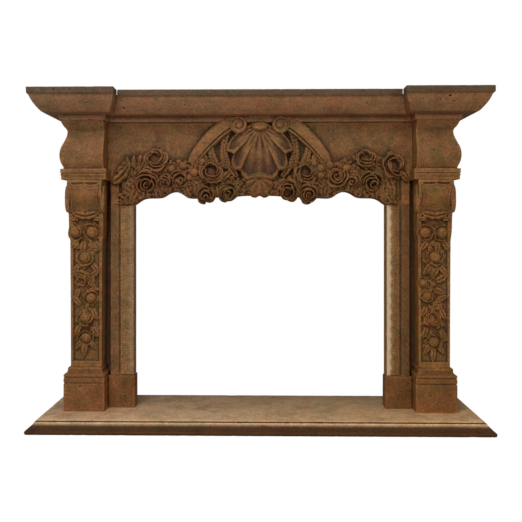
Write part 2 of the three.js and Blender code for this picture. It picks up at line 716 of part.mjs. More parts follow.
function leg(side) {
  const hand = side < 0 ? "left" : "right";
  const upperX = -side * UPPER_INSET;
  const group = new THREE.Group();
  group.position.set(side * LEG_CENTRE, 0, 0);
  group.add(
    piece(`plinth_${hand}`, plinth(side), BROWN, [0, 0, PLINTH_Z]),
    piece(`pilaster_${hand}`, pilaster(side, SHAFT_CARVING[hand]), BROWN, [upperX, 0, SHAFT_Z]),
    piece(`frieze_block_${hand}`, friezeBlock(side), BROWN, [upperX, 0, BLOCK_Z]),
    piece(`cornice_${hand}`, sideCornice(side), DARK, [upperX, 0, CORNICE_Z]),
  );
  return group;
}

const mantel = new THREE.Group();
mantel.add(piece("hearth", hearth(), PALE));
for (const side of [-1, 1]) {
  const hand = side < 0 ? "left" : "right";
  mantel.add(leg(side));
  mantel.add(piece(`slip_${hand}`, slip(side), BROWN));
  mantel.add(piece(`slip_plinth_${hand}`, footBlock(side), BROWN));
}
mantel.add(piece("cornice_centre", centreCornice(), DARK));
mantel.add(piece("frieze_panel", friezePanel(), BROWN));

export default mantel;
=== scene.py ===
"""Carved stone fireplace mantel on its hearth slab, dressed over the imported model."""

import itertools
import math

import bpy
import numpy as np
from mathutils import Matrix, Vector


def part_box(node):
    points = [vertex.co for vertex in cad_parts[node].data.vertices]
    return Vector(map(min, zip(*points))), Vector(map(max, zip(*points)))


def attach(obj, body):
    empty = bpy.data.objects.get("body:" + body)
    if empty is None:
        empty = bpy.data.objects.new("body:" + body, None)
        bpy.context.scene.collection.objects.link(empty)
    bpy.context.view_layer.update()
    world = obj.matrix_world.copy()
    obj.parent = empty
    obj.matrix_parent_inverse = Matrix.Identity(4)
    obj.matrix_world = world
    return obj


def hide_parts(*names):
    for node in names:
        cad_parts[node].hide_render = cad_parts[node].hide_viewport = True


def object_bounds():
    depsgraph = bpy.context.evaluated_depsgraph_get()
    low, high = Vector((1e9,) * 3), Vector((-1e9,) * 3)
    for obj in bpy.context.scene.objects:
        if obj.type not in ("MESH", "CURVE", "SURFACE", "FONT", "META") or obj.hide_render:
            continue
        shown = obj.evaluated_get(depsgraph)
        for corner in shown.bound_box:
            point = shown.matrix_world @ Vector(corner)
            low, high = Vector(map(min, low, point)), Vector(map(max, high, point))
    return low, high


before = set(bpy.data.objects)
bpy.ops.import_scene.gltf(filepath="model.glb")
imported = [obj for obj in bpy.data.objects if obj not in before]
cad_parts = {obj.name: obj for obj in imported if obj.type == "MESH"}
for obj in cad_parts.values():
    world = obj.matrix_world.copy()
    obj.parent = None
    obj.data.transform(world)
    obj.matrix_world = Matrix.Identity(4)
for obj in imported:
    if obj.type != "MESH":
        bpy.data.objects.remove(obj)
cad_low, cad_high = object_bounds()

MM = 0.001
rng = np.random.default_rng(17)


# Camera, from the hearth's edges and the level mouldings in the photograph

PHOTO_SIDE = 522
FOCAL_PIXELS = 741
SHIFT_RIGHT_PIXELS = 11.8
SHIFT_DOWN_PIXELS = 36.7
SENSOR_MM = 36
CAMERA_PLACE = (0.0153, -3.0633, 0.8108)
CAMERA_TURN = 0.019


def set_camera():
    data = bpy.data.cameras.new("camera")
    data.sensor_width = SENSOR_MM
    data.lens = SENSOR_MM * FOCAL_PIXELS / PHOTO_SIDE
    data.shift_x = SHIFT_RIGHT_PIXELS / PHOTO_SIDE
    data.shift_y = -SHIFT_DOWN_PIXELS / PHOTO_SIDE
    data.clip_end = 60
    camera = bpy.data.objects.new("camera", data)
    camera.location = CAMERA_PLACE
    camera.rotation_euler = (math.pi / 2, 0, CAMERA_TURN)
    bpy.context.collection.objects.link(camera)
    bpy.context.scene.camera = camera


# Small modelling helpers

def only(piece):
    bpy.ops.object.select_all(action="DESELECT")
    piece.select_set(True)
    bpy.context.view_layer.objects.active = piece


def apply(piece, kind, **settings):
    only(piece)
    modifier = piece.modifiers.new(kind.title(), kind)
    for name, value in settings.items():
        setattr(modifier, name, value)
    bpy.ops.object.modifier_apply(modifier=modifier.name)


def tidy(piece):
    only(piece)
    bpy.ops.object.mode_set(mode="EDIT")
    bpy.ops.mesh.select_all(action="SELECT")
    bpy.ops.mesh.remove_doubles(threshold=1e-6)
    bpy.ops.mesh.normals_make_consistent(inside=False)
    bpy.ops.object.mode_set(mode="OBJECT")
    return piece


def joined(name, pieces):
    bpy.ops.object.select_all(action="DESELECT")
    for piece in pieces:
        piece.select_set(True)
    bpy.context.view_layer.objects.active = pieces[0]
    bpy.ops.object.join()
    pieces[0].name = name
    return pieces[0]


def cut(piece, cutter):
    apply(piece, "BOOLEAN", operation="DIFFERENCE", object=cutter, solver="EXACT")
    bpy.data.objects.remove(cutter, do_unlink=True)
    return piece


# A stone is built up from its bed: a plane, extruded to each level's rectangle in turn
def stack(name, levels):
    left, right, front, back, z = (value * MM for value in levels[0])
    bpy.ops.object.select_all(action="DESELECT")
    bpy.ops.mesh.primitive_plane_add(size=1, location=((left + right) / 2, (front + back) / 2, z))
    stone = bpy.context.object
    stone.name = name
    stone.scale = (right - left, back - front, 1)
    bpy.ops.object.transform_apply(location=True, rotation=False, scale=True)
    bpy.ops.object.mode_set(mode="EDIT")
    bpy.ops.mesh.select_all(action="SELECT")
    for level in levels[1:]:
        new = [value * MM for value in level]
        centre = ((new[0] + new[1]) / 2, (new[2] + new[3]) / 2, new[4])
        step = (centre[0] - (left + right) / 2, centre[1] - (front + back) / 2, new[4] - z)
        grow = ((new[1] - new[0]) / (right - left), (new[3] - new[2]) / (back - front), 1)
        bpy.ops.mesh.extrude_region_move(TRANSFORM_OT_translate={"value": step})
        bpy.ops.transform.resize(value=grow, center_override=centre)
        left, right, front, back, z = new
    bpy.ops.object.mode_set(mode="OBJECT")
    return tidy(stone)


def block(name, low, high):
    return stack(name, [(low[0], high[0], low[1], high[1], z) for z in (low[2], high[2])])


def from_bodies(name, bodies):
    """One mesh from closed bodies, each (points in mm, faces)."""
    points = []
    faces = []
    start = 0
    for body_points, body_faces in bodies:
        points.append(body_points)
        faces.extend(tuple(start + i for i in face) for face in body_faces)
        start += len(body_points)
    mesh = bpy.data.meshes.new(name)
    mesh.from_pydata((np.concatenate(points) * MM).tolist(), [], faces)
    piece = bpy.data.objects.new(name, mesh)
    bpy.context.collection.objects.link(piece)
    return piece


def between(top, bottom, closed=False):
    """A closed body between two grids of points; closed grids join their last column to the first."""
    rows, columns = top.shape[:2]
    count = rows * columns
    spans = columns if closed else columns - 1
    faces = []
    for r, c in itertools.product(range(rows - 1), range(spans)):
        a, b = r * columns + c, r * columns + (c + 1) % columns
        faces.append((a, b, b + columns, a + columns))
        faces.append((count + a, count + a + columns, count + b + columns, count + b))
    for c in range(spans):
        for a, b in ((c, (c + 1) % columns), (count - columns + (c + 1) % columns, count - columns + c)):
            faces.append((a, a + count, b + count, b))
    if not closed:
        for r in range(rows - 1):
            first, last = r * columns, r * columns + columns - 1
            for a, b in ((first + columns, first), (last, last + columns)):
                faces.append((a, a + count, b + count, b))
    return np.concatenate([top.reshape(-1, 3), bottom.reshape(-1, 3)]), faces


def standing(top, back, closed=False):
    """A closed body between a grid of points and the same grid pressed flat at a depth behind it."""
    bottom = top.copy()
    bottom[:, :, 2] = back
    return between(top, bottom, closed)


def normals_of(grid):
    across = np.gradient(grid, axis=1)
    along = np.gradient(grid, axis=0)
    normal = np.cross(across, along)
    return normal / np.maximum(np.linalg.norm(normal, axis=2, keepdims=True), 1e-9)


def thick(grid, thickness):
    normal = normals_of(grid)
    return between(grid + normal * thickness / 2, grid - normal * thickness / 2)


def smoothstep(low, high, value):
    t = np.clip((value - low) / (high - low), 0, 1)
    return t * t * (3 - 2 * t)


def noise(points, size, seed=0):
    """Smooth noise from -1 to 1 at points in mm, with lumps of about a size."""
    scaled = points / size + seed * 31.7
    cell = np.floor(scaled).astype(np.int64)
    f = scaled - cell
    f = f * f * (3 - 2 * f)
    total = np.zeros(len(points))
    for corner in itertools.product((0, 1), repeat=3):
        key = (cell + np.array(corner)) @ np.array([73856093, 19349663, 83492791])
        key = (key ^ (key >> 13)) * 1274126177
        key = key ^ (key >> 16)
        weight = np.prod(np.where(corner, f, 1 - f), axis=1)
        total += weight * ((key & 0xFFFF) / 32767.5 - 1)
    return total


# Reliefs are drawn as (x, z, out) and put on the front at a plane y; out goes towards the viewer

def on_front(bodies, plane):
    placed = []
    for points, faces in bodies:
        x, z, out = points.T
        y = (plane(z) if callable(plane) else plane) - out
        placed.append((np.stack([x, y, z], axis=1), faces))
    return placed


def tilted(bodies, tilt, towards, spin=0.0):
    """Turns reliefs in their own plane, then leans them towards a direction, all in degrees."""
    s, t, d = math.radians(spin), math.radians(tilt), math.radians(towards)
    turn = np.array([[math.cos(s), -math.sin(s), 0], [math.sin(s), math.cos(s), 0], [0, 0, 1]])
    axis = np.array([-math.sin(d), math.cos(d), 0])
    k = np.array([[0, -axis[2], axis[1]], [axis[2], 0, -axis[0]], [-axis[1], axis[0], 0]])
    lean = np.eye(3) + math.sin(t) * k + (1 - math.cos(t)) * (k @ k)
    return [(points @ (lean @ turn).T, faces) for points, faces in bodies]


def moved(bodies, x, z, out=0.0):
    return [(points + np.array([x, z, out]), faces) for points, faces in bodies]


# Roses. Each kind has rings of petals from the outside in, as (count, foot reach, rim reach, rim height,
# roll), then the bud's reach and height, all as shares of the rose's radius or height.
FULL_ROSE = (
    [(5, 0.52, 0.95, 0.5, 0.15), (4, 0.42, 0.74, 0.8, 0.1), (3, 0.26, 0.52, 0.96, 0.07),
     (2, 0.1, 0.26, 1.0, 0.03)],
    (0.12, 0.8),
)
OPEN_ROSE = (
    [(5, 0.55, 0.98, 0.42, 0.17), (4, 0.52, 0.82, 0.78, 0.1), (4, 0.44, 0.6, 0.98, 0.03)],
    (0.32, 0.3),
)
BUD_ROSE = (
    [(5, 0.72, 0.98, 0.6, 0.12)],
    (0.7, 1.0),
)
# How far the roses and leaves stand out, and a tuft's reach and height
FRIEZE_ROSE_OUT = 38
SHAFT_ROSE_OUT = 27
FRIEZE_LEAF_OUT = 18
SHAFT_LEAF_OUT = 13
FRIEZE_TUFT = (25, 21)
SHAFT_TUFT = (24, 10)
# How far the carving goes into the stone behind it
CARVING_ROOT = 8
BED_ROOT = 6


def petal(radius, height, ring, centre_angle, thickness):
    """A cupped petal with a wavy rim that rolls outwards and leans over its neighbour."""
    count, foot, rim, top, roll = ring
    v = np.linspace(0, 1, 9)[:, None]
    u = np.linspace(-1, 1, 13)[None, :]
    dip = 0.16 * np.sin(math.pi * (1.5 * u + rng.uniform(-1, 1)))
    rise = v * (1 - 0.38 * u ** 2 - 0.12 * dip)
    curl = np.clip((rise - 0.68) / 0.32, 0, 1) ** 2
    reach = foot + (rim * rng.uniform(0.84, 1.1) - foot) * np.sin(rise * math.pi / 2)
    out = radius * reach + radius * roll * rng.uniform(0.4, 1.5) * curl
    out = out * (1 + rng.uniform(0.04, 0.24) * u + 0.05 * dip * v)
    up = height * top * rng.uniform(0.72, 1.12) * rise ** 1.5 - height * roll * 1.4 * curl
    angle = centre_angle + u * math.pi / count * rng.uniform(1.1, 1.45)
    grid = np.stack(np.broadcast_arrays(out * np.cos(angle), out * np.sin(angle), up), axis=2)
    return thick(grid, thickness)


def dome(radius, height, root, squash=1.0, furl=0.0):
    """A rounded lump with a root below it; furl presses the spiral seam of a closed bud into it."""
    angle = np.linspace(0, 2 * math.pi, 32, endpoint=False)[None, :]
    share = np.linspace(1, 0.02, 12)[:, None]
    fold = np.sin(math.pi * (1.7 * share + angle / (2 * math.pi))) ** 2
    seam = furl * np.exp(-fold / 0.06) * smoothstep(0, 0.2, share)
    out = height * np.sqrt(np.maximum(1 - share ** 2, 0)) * (1 - seam)
    px, pz = radius * share * np.cos(angle), radius * squash * share * np.sin(angle)
    top = np.stack(np.broadcast_arrays(px, pz, out), axis=2)
    return standing(top, -root, closed=True)


def rose(radius, height, kind, thickness):
    rings, bud = kind
    bodies = [dome(radius * 0.82, height * 0.28, 14)]
    for level, ring in enumerate(rings):
        shift = rng.normal(0, 0.05 * radius, 2) * (level > 0)
        petals = []
        for k in range(ring[0]):
            angle = 2 * math.pi * (k + 0.37 * level) / ring[0] + 0.9 * level + rng.uniform(-0.25, 0.25)
            petals.append(petal(radius, height, ring, angle, thickness))
        bodies += moved(petals, *shift)
    bodies.append(dome(radius * bud[0], height * bud[1], 0, furl=0.34))
    return bodies


def placed_rose(x, z, radius, height, kind, tilt=0, towards=0, spin=0, lift=0.0, thickness=5.0):
    bodies = tilted(rose(radius, height, kind, thickness), tilt, towards, spin)
    return moved(bodies, x, z, lift)


def leaf(x, z, length, width, angle, bend=0.0, height=16.0, root=14.0, teeth=4, lift=0.0, rows=25,
         columns=13):
    """A carved leaf: two full halves beside a sunk midrib, notched edges, and a tip that turns down."""
    s = np.linspace(0, 1, rows)[:, None]
    u = np.linspace(-1, 1, columns)[None, :]
    heading = math.radians(angle) + math.radians(bend) * s
    step = length / (rows - 1)
    ax = x + np.cumsum(np.cos(heading), axis=0) * step
    az = z + np.cumsum(np.sin(heading), axis=0) * step
    half = width / 2 * np.sin(math.pi * (0.1 + 0.9 * s) ** 0.85) ** 0.7
    notch = 1 - 0.16 * (1 - np.abs(np.sin(math.pi * teeth * s)) ** 0.7)
    half = half * notch + 0.6
    px = ax - np.sin(heading) * half * u
    pz = az + np.cos(heading) * half * u
    arch = 0.45 + 0.55 * np.sin(math.pi * np.clip(s * 0.9 + 0.08, 0, 1))
    crown = 0.62 + 0.38 * np.sin(math.pi * np.abs(u)) - 0.28 * np.exp(-(u / 0.14) ** 2)
    veins = 0.07 * np.cos(2 * math.pi * (teeth * s - 0.5 * np.abs(u)))
    out = lift + height * arch * (crown + veins * np.abs(u))
    top = np.stack(np.broadcast_arrays(px, pz, out), axis=2)
    return [standing(top, -root)]


def tuft(x, z, reach, height):
    """A small clump of crumpled leaves that fills the ground between flowers."""
    bodies = []
    for k in range(4):
        angle = 90 * k + rng.uniform(-40, 40)
        length = reach * rng.uniform(0.7, 1.2)
        bodies += leaf(x, z, length, length * rng.uniform(0.5, 0.75), angle, rng.uniform(-70, 70),
                       height=height * rng.uniform(0.7, 1.1), teeth=2, rows=11, columns=7)
    return bodies


def fern_spray(x, z, length, angle, bend, leaflet):
    """A stem with pairs of leaflets that grow smaller towards its tip."""
    bodies = leaf(x, z, length, 14, angle, bend, height=16, root=10, teeth=1)
    pairs = max(int(length / 14), 3)
    for k in range(pairs):
        share = (k + 0.3) / pairs
        heading = math.radians(angle + bend * share)
        mean = math.radians(angle + bend * share / 2)
        px, pz = x + math.cos(mean) * length * share, z + math.sin(mean) * length * share
        size = leaflet * (1 - 0.45 * share)
        for side in (-1, 1):
            turn = math.degrees(heading) + side * 42
            bodies += leaf(px, pz, size, size * 0.5, turn, -side * 24, height=17, root=10, teeth=2)
    return bodies


def mirrored(bodies):
    return [(points * np.array([-1, 1, 1]), [face[::-1] for face in faces]) for points, faces in bodies]


# Stone finishing: remesh to one skin, wear its edges, thin it, and note its hollows for dirt and painted
# shade

def mesh_arrays(piece):
    mesh = piece.data
    points = np.empty(len(mesh.vertices) * 3)
    mesh.vertices.foreach_get("co", points)
    normals = np.empty(len(mesh.vertices) * 3)
    mesh.vertices.foreach_get("normal", normals)
    edges = np.empty(len(mesh.edges) * 2, np.int32)
    mesh.edges.foreach_get("vertices", edges)
    return points.reshape(-1, 3) / MM, normals.reshape(-1, 3), edges.reshape(-1, 2)


def smoothed(values, edges, steps):
    count = np.maximum(np.bincount(edges.ravel(), minlength=len(values)), 1)
    a, b = edges.T
    for _ in range(steps):
        new = np.empty_like(values)
        for k in range(values.shape[1]):
            total = np.bincount(a, values[b, k], len(values)) + np.bincount(b, values[a, k], len(values))
            new[:, k] = 0.5 * values[:, k] + 0.5 * total / count
        values = new
    return values


def hollowness(points, normals, edges, steps):
    """How far the skin lies below its own average: above zero in hollows, below zero on edges."""
    return np.sum((smoothed(points, edges, steps) - points) * normals, axis=1)


# Larger open pits in the front: x, z and radius
PITS = [(-549, 1279, 7), (-806, 1340, 5), (-742, 1338, 4), (742, 1310, 6), (762, 1290, 5), (705, 1298, 4),
        (-300, 1290, 4), (120, 1300, 4), (260, 1275, 5), (430, 1296, 4), (-680, 1290, 4), (-420, 1312, 4),
        (700, 1110, 4), (-700, 1130, 4), (-730, 150, 5), (690, 120, 5), (-560, 100, 4), (-10, 1284, 3)]


def weather(piece, chip, rough, low, high, seed):
    """Chips the edges, roughens the skin and opens the pits, inside the stone's own box."""
    points, normals, edges = mesh_arrays(piece)
    edge = np.clip(-hollowness(points, normals, edges, 6) / 1.6, 0, 1)
    nick = smoothstep(0.3, 0.75, noise(points, 17, seed + 1))
    nick = nick + 0.6 * smoothstep(0.35, 0.8, noise(points, 7, seed + 2))
    wear = 0.35 + 0.3 * noise(points, 60, seed + 3)
    depth = edge * (chip * nick + rough * 1.6 * wear)
    depth = depth + rough * (0.6 * noise(points, 24, seed + 4) + 0.4 * noise(points, 9, seed + 5))
    for x, z, radius in PITS:
        away = np.hypot(points[:, 0] - x, points[:, 2] - z) + 1.5 * noise(points, 6, seed + 6)
        depth = depth + radius * smoothstep(radius, radius * 0.3, away) * (normals[:, 1] < -0.25)
    points = points - normals * depth[:, None]
    points = np.clip(points, low, high)
    piece.data.vertices.foreach_set("co", (points * MM).ravel())
    piece.data.update()


def note_hollows(piece):
    """Marks hollows towards 1 and edges towards 0: hollows get dirt and painted shade, edges are rubbed
    paler.
    """
    points, normals, edges = mesh_arrays(piece)
    near = hollowness(points, normals, edges, 5)
    wide = hollowness(points, normals, edges, 28)
    value = np.clip(0.5 + near / 3.2 + wide / 9.0, 0, 1)
    hollow = piece.data.attributes.new("hollow", "FLOAT", "POINT")
    hollow.data.foreach_set("value", value)


def note_patina_and_shade(piece, patina_and_shade):
    """Where tone, dirt and painted shade darken the stone, from 0 to 1, by place in mm. Below zero a painted
    highlight makes it paler instead.
    """
    x, y, z = mesh_arrays(piece)[0].T
    value = patina_and_shade(x, y, z) if patina_and_shade else np.zeros(len(x))
    for name, amount in (("patina_and_shade", value), ("bead_highlight", -value)):
        attribute = piece.data.attributes.new(name, "FLOAT", "POINT")
        attribute.data.foreach_set("value", np.clip(amount, 0, 1))


def finish_stone(piece, node, voxel, triangles, chip, rough, seed, clip=True, patina_and_shade=None):
    """Makes one skin of a stone's parts, wears it and puts it in the place of its solid."""
    apply(piece, "REMESH", mode="VOXEL", voxel_size=voxel * MM, adaptivity=0.0)
    low, high = (np.array(corner) / MM for corner in (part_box(node) if clip else (cad_low, cad_high)))
    weather(piece, chip, rough, low, high, seed)
    have = sum(len(face.vertices) - 2 for face in piece.data.polygons)
    if have > triangles:
        apply(piece, "DECIMATE", ratio=triangles / have)
    note_hollows(piece)
    note_patina_and_shade(piece, patina_and_shade)
    only(piece)
    bpy.ops.object.shade_smooth()
    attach(piece, "root")
    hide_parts(node)
    return piece


# Mouldings, as heights above the bed and how far each stands out

def bowed(start, end, rise, steps):
    start, end = np.array(start, float), np.array(end, float)
    along = end - start
    length = np.linalg.norm(along)
    normal = np.array([-along[1], along[0]]) / length
    return [tuple(start + along * t + normal * rise * 4 * t * (1 - t)) for t in np.linspace(0, 1, steps + 1)]


def through(points, steps):
    """A smooth curve through points, by cubic pieces."""
    points = np.array(points, float)
    padded = np.vstack([2 * points[0] - points[1], points, 2 * points[-1] - points[-2]])
    found = []
    for t in np.linspace(0, len(points) - 1, steps + 1):
        i = min(int(t), len(points) - 2)
        f = t - i
        p0, p1, p2, p3 = padded[i:i + 4]
        found.append(0.5 * (2 * p1 + (p2 - p0) * f + (2 * p0 - 5 * p1 + 4 * p2 - p3) * f ** 2
                            + (3 * p1 - p0 - 3 * p2 + p3) * f ** 3))
    return [tuple(point) for point in found]


def cornice_profile(top, out):
    return [
        (0, out * 0.2), (top * 0.02, out * 0.21), (top * 0.19, out * 0.22),
        (top * 0.2, out * 0.6), (top * 0.215, out * 0.63),
        *bowed((top * 0.225, out * 0.64), (top * 0.755, out * 0.95), 4, 12),
        (top * 0.765, out * 0.96), (top * 0.79, out), (top, out),
    ]


def block_profile(height, band, belly, band_height):
    swell = height - band_height
    body = [(0.015, 0.42), (0.14, 0.85), (0.28, 1), (0.42, 0.85), (0.56, 0.4), (0.69, 0.04), (0.8, 0),
            (0.88, 0.45), (1, 0.9)]
    return [
        (0, band * 0.74), *bowed((1.5, band * 0.8), (band_height * 0.5, band * 0.92), -2.2, 6),
        (band_height * 0.54, band * 0.74), (band_height * 0.6, band * 0.74),
        *bowed((band_height * 0.64, band * 0.94), (band_height - 0.5, band * 0.94), -1.6, 5),
        (band_height, band * 0.5),
        *[(band_height + swell * z, belly * out) for z, out in through(body, 40)],
    ]


def plinth_profile(height, inset, cap, groove):
    levels = [(0, 0)]
    for share in (0.65, 0.78):
        z = height * share
        floor = -groove * 0.7
        levels += [(z - groove, 0), (z - groove * 0.6, floor), (z + groove * 0.6, floor), (z + groove, 0)]
    levels += bowed((height - cap, 0), (height - 4, -inset), -6, 8)
    levels += [(height - 3.5, -inset - 2.5), (height, -inset - 2.5)]
    return levels


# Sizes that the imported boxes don't give directly, in mm, as the solids have them
NECK_WIDTH = 152.4
BAND_OUT = 25.8
BELLY_OUT = 25.4
BAND_HEIGHT = 45
CORNICE_OUT = 129.4
CORNICE_RETURN = 63
SHAFT_FOOT_WIDTH = 126
SHAFT_HEAD_WIDTH = 133
CONSOLE_WIDTH = 141
CONSOLE_OUT = 42
PANEL_SINK = 6
PANEL_RIM = 10
NOSE_OUT = 36
NOSE_CREASE = 5
CENTRE_SETBACK = 72
OPEN_JOINT_WIDTH = 22
OPEN_JOINT_HEIGHT = 20
FIELD_DEPTH = 58
SLIP_FLAT = 33
SLIP_GROOVE = 7
SLIP_BEAD = 8
RIB_STRIP = 48
RIB_OUT = 5
REBATE = 45
PLINTH_CAP = 28
PLINTH_GROOVE = 3.4
PLINTH_REST = 7.6
FILLET_SHARE = 0.22
SHAFT_DEPTH = 282
SLIP_PLINTH_WIDTH = 109
JOINT = 0.3
# The ribs stand closer together than those of the solids
RIB_PITCH = 9
# How far the plain stones have darkened
PLINTH_PATINA = 0.2
SLIP_PLINTH_PATINA = 0.45
# Soft edges by distance from the middle: of the recess's painted shade, of the painted highlight on the ribs'
# bead and of the flat
RECESS_EDGE = (612, 622)
HIGHLIGHT_INNER_EDGE = (525, 529)
HIGHLIGHT_OUTER_EDGE = (546, 538)
RIBS_MIDDLE = 556
FLAT_EDGE = (582, 588)


def span(node):
    low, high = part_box(node)
    return np.array(low) / MM, np.array(high) / MM


plinth_low, plinth_high = span("plinth_right")
shaft_low, shaft_high = span("pilaster_right")
block_low, block_high = span("frieze_block_right")
cornice_low, cornice_high = span("cornice_right")
slip_low, slip_high = span("slip_right")
panel_low, panel_high = span("frieze_panel")
LEG_CENTRE = (plinth_low[0] + plinth_high[0]) / 2
BACK_Y = plinth_high[1]
UPPER_CENTRE = (shaft_low[0] + shaft_high[0]) / 2
NECK_Y = block_low[1] + BAND_OUT
INNER_NECK = UPPER_CENTRE - NECK_WIDTH / 2
FIELD_Y = panel_high[1] - FIELD_DEPTH
SLIP_FRONT_Y = slip_low[1]
SHAFT_HEIGHT = shaft_high[2] - shaft_low[2]
SHAFT_FRONT_Y = BACK_Y - SHAFT_DEPTH
OPENING_HALF = slip_low[0]


def sided(side, outer, inner, front, z):
    ends = sorted((side * outer, side * inner))
    return (ends[0], ends[1], front, BACK_Y, z)


def hand(side):
    return "left" if side < 0 else "right"


def corner_return(out):
    """How far a shelf end returns on its inner side, where its front stands out by an amount."""
    rest = cornice_profile(1, CORNICE_OUT)[0][1]
    inner_rest = rest * 0.3
    return inner_rest + (CORNICE_RETURN - inner_rest) * (out - rest) / (CORNICE_OUT - rest)


def block_return(z, out):
    """The bands of a frieze block return by half on its inner side, its belly doesn't."""
    return 0 if z > BAND_HEIGHT else out / 2


def make_hearth():
    low, high = span("hearth")
    top = high[2]
    half = high[0] - NOSE_OUT
    crease_y = low[1] + NOSE_OUT
    profile = [
        (0, NOSE_OUT * 0.8), (top * 0.03, NOSE_OUT * 0.88), (top * 0.1, NOSE_OUT * 0.94),
        *bowed((top * 0.3, NOSE_OUT), (top - NOSE_CREASE, NOSE_OUT * 0.16), -9, 14),
        (top - NOSE_CREASE * 1.1, NOSE_OUT * 0.08), (top - NOSE_CREASE * 1.6, 0),
        (top - NOSE_CREASE * 0.7, -NOSE_CREASE * 0.4), (top - NOSE_CREASE * 0.2, -NOSE_CREASE * 0.6),
        (top, -NOSE_CREASE),
    ]

    def patina_and_shade(x, y, z):
        """Painted shade: the nose is darker than the top, and so is the crease behind it."""
        outward = np.maximum(np.abs(x) - half, crease_y - y)
        crease = smoothstep(-7, -4, outward) * smoothstep(5, 2, outward) * smoothstep(top - 1, top - 2.5, z)
        return np.maximum(1 - smoothstep(28, 44, z), crease)

    slab = stack("hearth_slab", [(-half - out, half + out, crease_y - out, BACK_Y, z) for z, out in profile])
    return finish_stone(slab, "hearth", voxel=3.2, triangles=90000, chip=3.0, rough=0.3, seed=3,
                        patina_and_shade=patina_and_shade)


def make_plinth(side):
    low, high = span("plinth_right")
    height = high[2] - low[2]
    half = (high[0] - low[0]) / 2
    inset = (2 * half - SHAFT_FOOT_WIDTH) / 2 - PLINTH_REST
    levels = [sided(side, LEG_CENTRE + half + out, LEG_CENTRE - half - out, low[1] - out, low[2] + z)
              for z, out in plinth_profile(height, inset, PLINTH_CAP, PLINTH_GROOVE)]
    stone = stack(f"plinth_stone_{hand(side)}", levels)
    return finish_stone(stone, f"plinth_{hand(side)}", voxel=2.4, triangles=22000, chip=2.2, rough=0.3,
                        seed=7 + side, patina_and_shade=lambda x, y, z: PLINTH_PATINA + 0 * z)


def make_frieze_block(side):
    height = block_high[2] - block_low[2]
    levels = []
    for z, out in block_profile(height, BAND_OUT, BELLY_OUT, BAND_HEIGHT):
        outer = UPPER_CENTRE + NECK_WIDTH / 2 + out
        inner = INNER_NECK - block_return(z, out)
        levels.append(sided(side, outer, inner, NECK_Y - out, block_low[2] + z))
    stone = stack(f"ogee_block_{hand(side)}", levels)
    return finish_stone(stone, f"frieze_block_{hand(side)}", voxel=2.4, triangles=42000, chip=2.4, rough=0.35,
                        seed=11 + side)


def recess_painted_shade(x, y):
    """Painted shade: the recess behind the legs is darkened."""
    return smoothstep(20, 40, y) * smoothstep(*RECESS_EDGE, np.abs(x))


def fillet_darker_grey(x, y, z):
    """The fillet along the top of the shelf is darker and greyer than the rest."""
    fillet = cornice_high[2] - FILLET_SHARE * (cornice_high[2] - cornice_low[2])
    return smoothstep(fillet - 3, fillet + 2, z)


def make_cornice_block(side):
    height = cornice_high[2] - cornice_low[2]
    levels = []
    for z, out in cornice_profile(height, CORNICE_OUT):
        outer = UPPER_CENTRE + NECK_WIDTH / 2 + out
        levels.append(sided(side, outer, INNER_NECK - corner_return(out), NECK_Y - out, cornice_low[2] + z))
    stone = stack(f"shelf_end_{hand(side)}", levels)
    ends = sorted((side * (INNER_NECK + OPEN_JOINT_WIDTH), side * (INNER_NECK - CORNICE_OUT)))
    front = NECK_Y + CENTRE_SETBACK - CORNICE_OUT
    top = cornice_high[2]
    cut(stone, block("open_joint", (ends[0], front, top - OPEN_JOINT_HEIGHT), (ends[1], 400, top + 40)))
    return finish_stone(stone, f"cornice_{hand(side)}", voxel=2.6, triangles=46000, chip=3.2, rough=0.35,
                        seed=15 + side, patina_and_shade=fillet_darker_grey)


def make_centre_cornice():
    height = cornice_high[2] - cornice_low[2]
    bed = cornice_low[2]
    levels = []
    for z, out in cornice_profile(height, CORNICE_OUT):
        half = INNER_NECK - corner_return(out) - JOINT
        levels.append((-half, half, NECK_Y + CENTRE_SETBACK - out, BACK_Y, bed + z))
    stone = stack("shelf_middle", levels)
    return finish_stone(stone, "cornice_centre", voxel=2.8, triangles=90000, chip=3.2, rough=0.35, seed=19,
                        patina_and_shade=fillet_darker_grey)


# The pilasters

def console_out(z):
    """How far the shaft's front swells at heights above its foot."""
    shares = np.array([0, 0.6, 0.67, 0.73, 0.78, 0.82, 0.855, 0.885, 0.92, 0.945, 0.965, 0.98, 1.0])
    outs = np.array([0, 0, 0.0, 0.04, 0.11, 0.22, 0.4, 0.68, 0.94, 1.0, 0.98, 0.88, 0.7])
    return np.interp(np.asarray(z) / SHAFT_HEIGHT, shares, outs) * CONSOLE_OUT


def shaft_half(z):
    share = z / SHAFT_HEIGHT
    taper = SHAFT_FOOT_WIDTH + (SHAFT_HEAD_WIDTH - SHAFT_FOOT_WIDTH) * share
    return (taper + (CONSOLE_WIDTH - taper) * float(smoothstep(0.66, 0.74, share))) / 2


def shaft_ground(z):
    return SHAFT_FRONT_Y - console_out(z) + PANEL_SINK


def front_grid(low_x, high_x, low_z, high_z, out, rows=40):
    x = np.linspace(low_x, high_x, 2)[None, :]
    z = np.linspace(low_z, high_z, rows)[:, None]
    y = SHAFT_FRONT_Y - console_out(z) - out
    return np.stack(np.broadcast_arrays(x, y + 0 * x, z), axis=2)


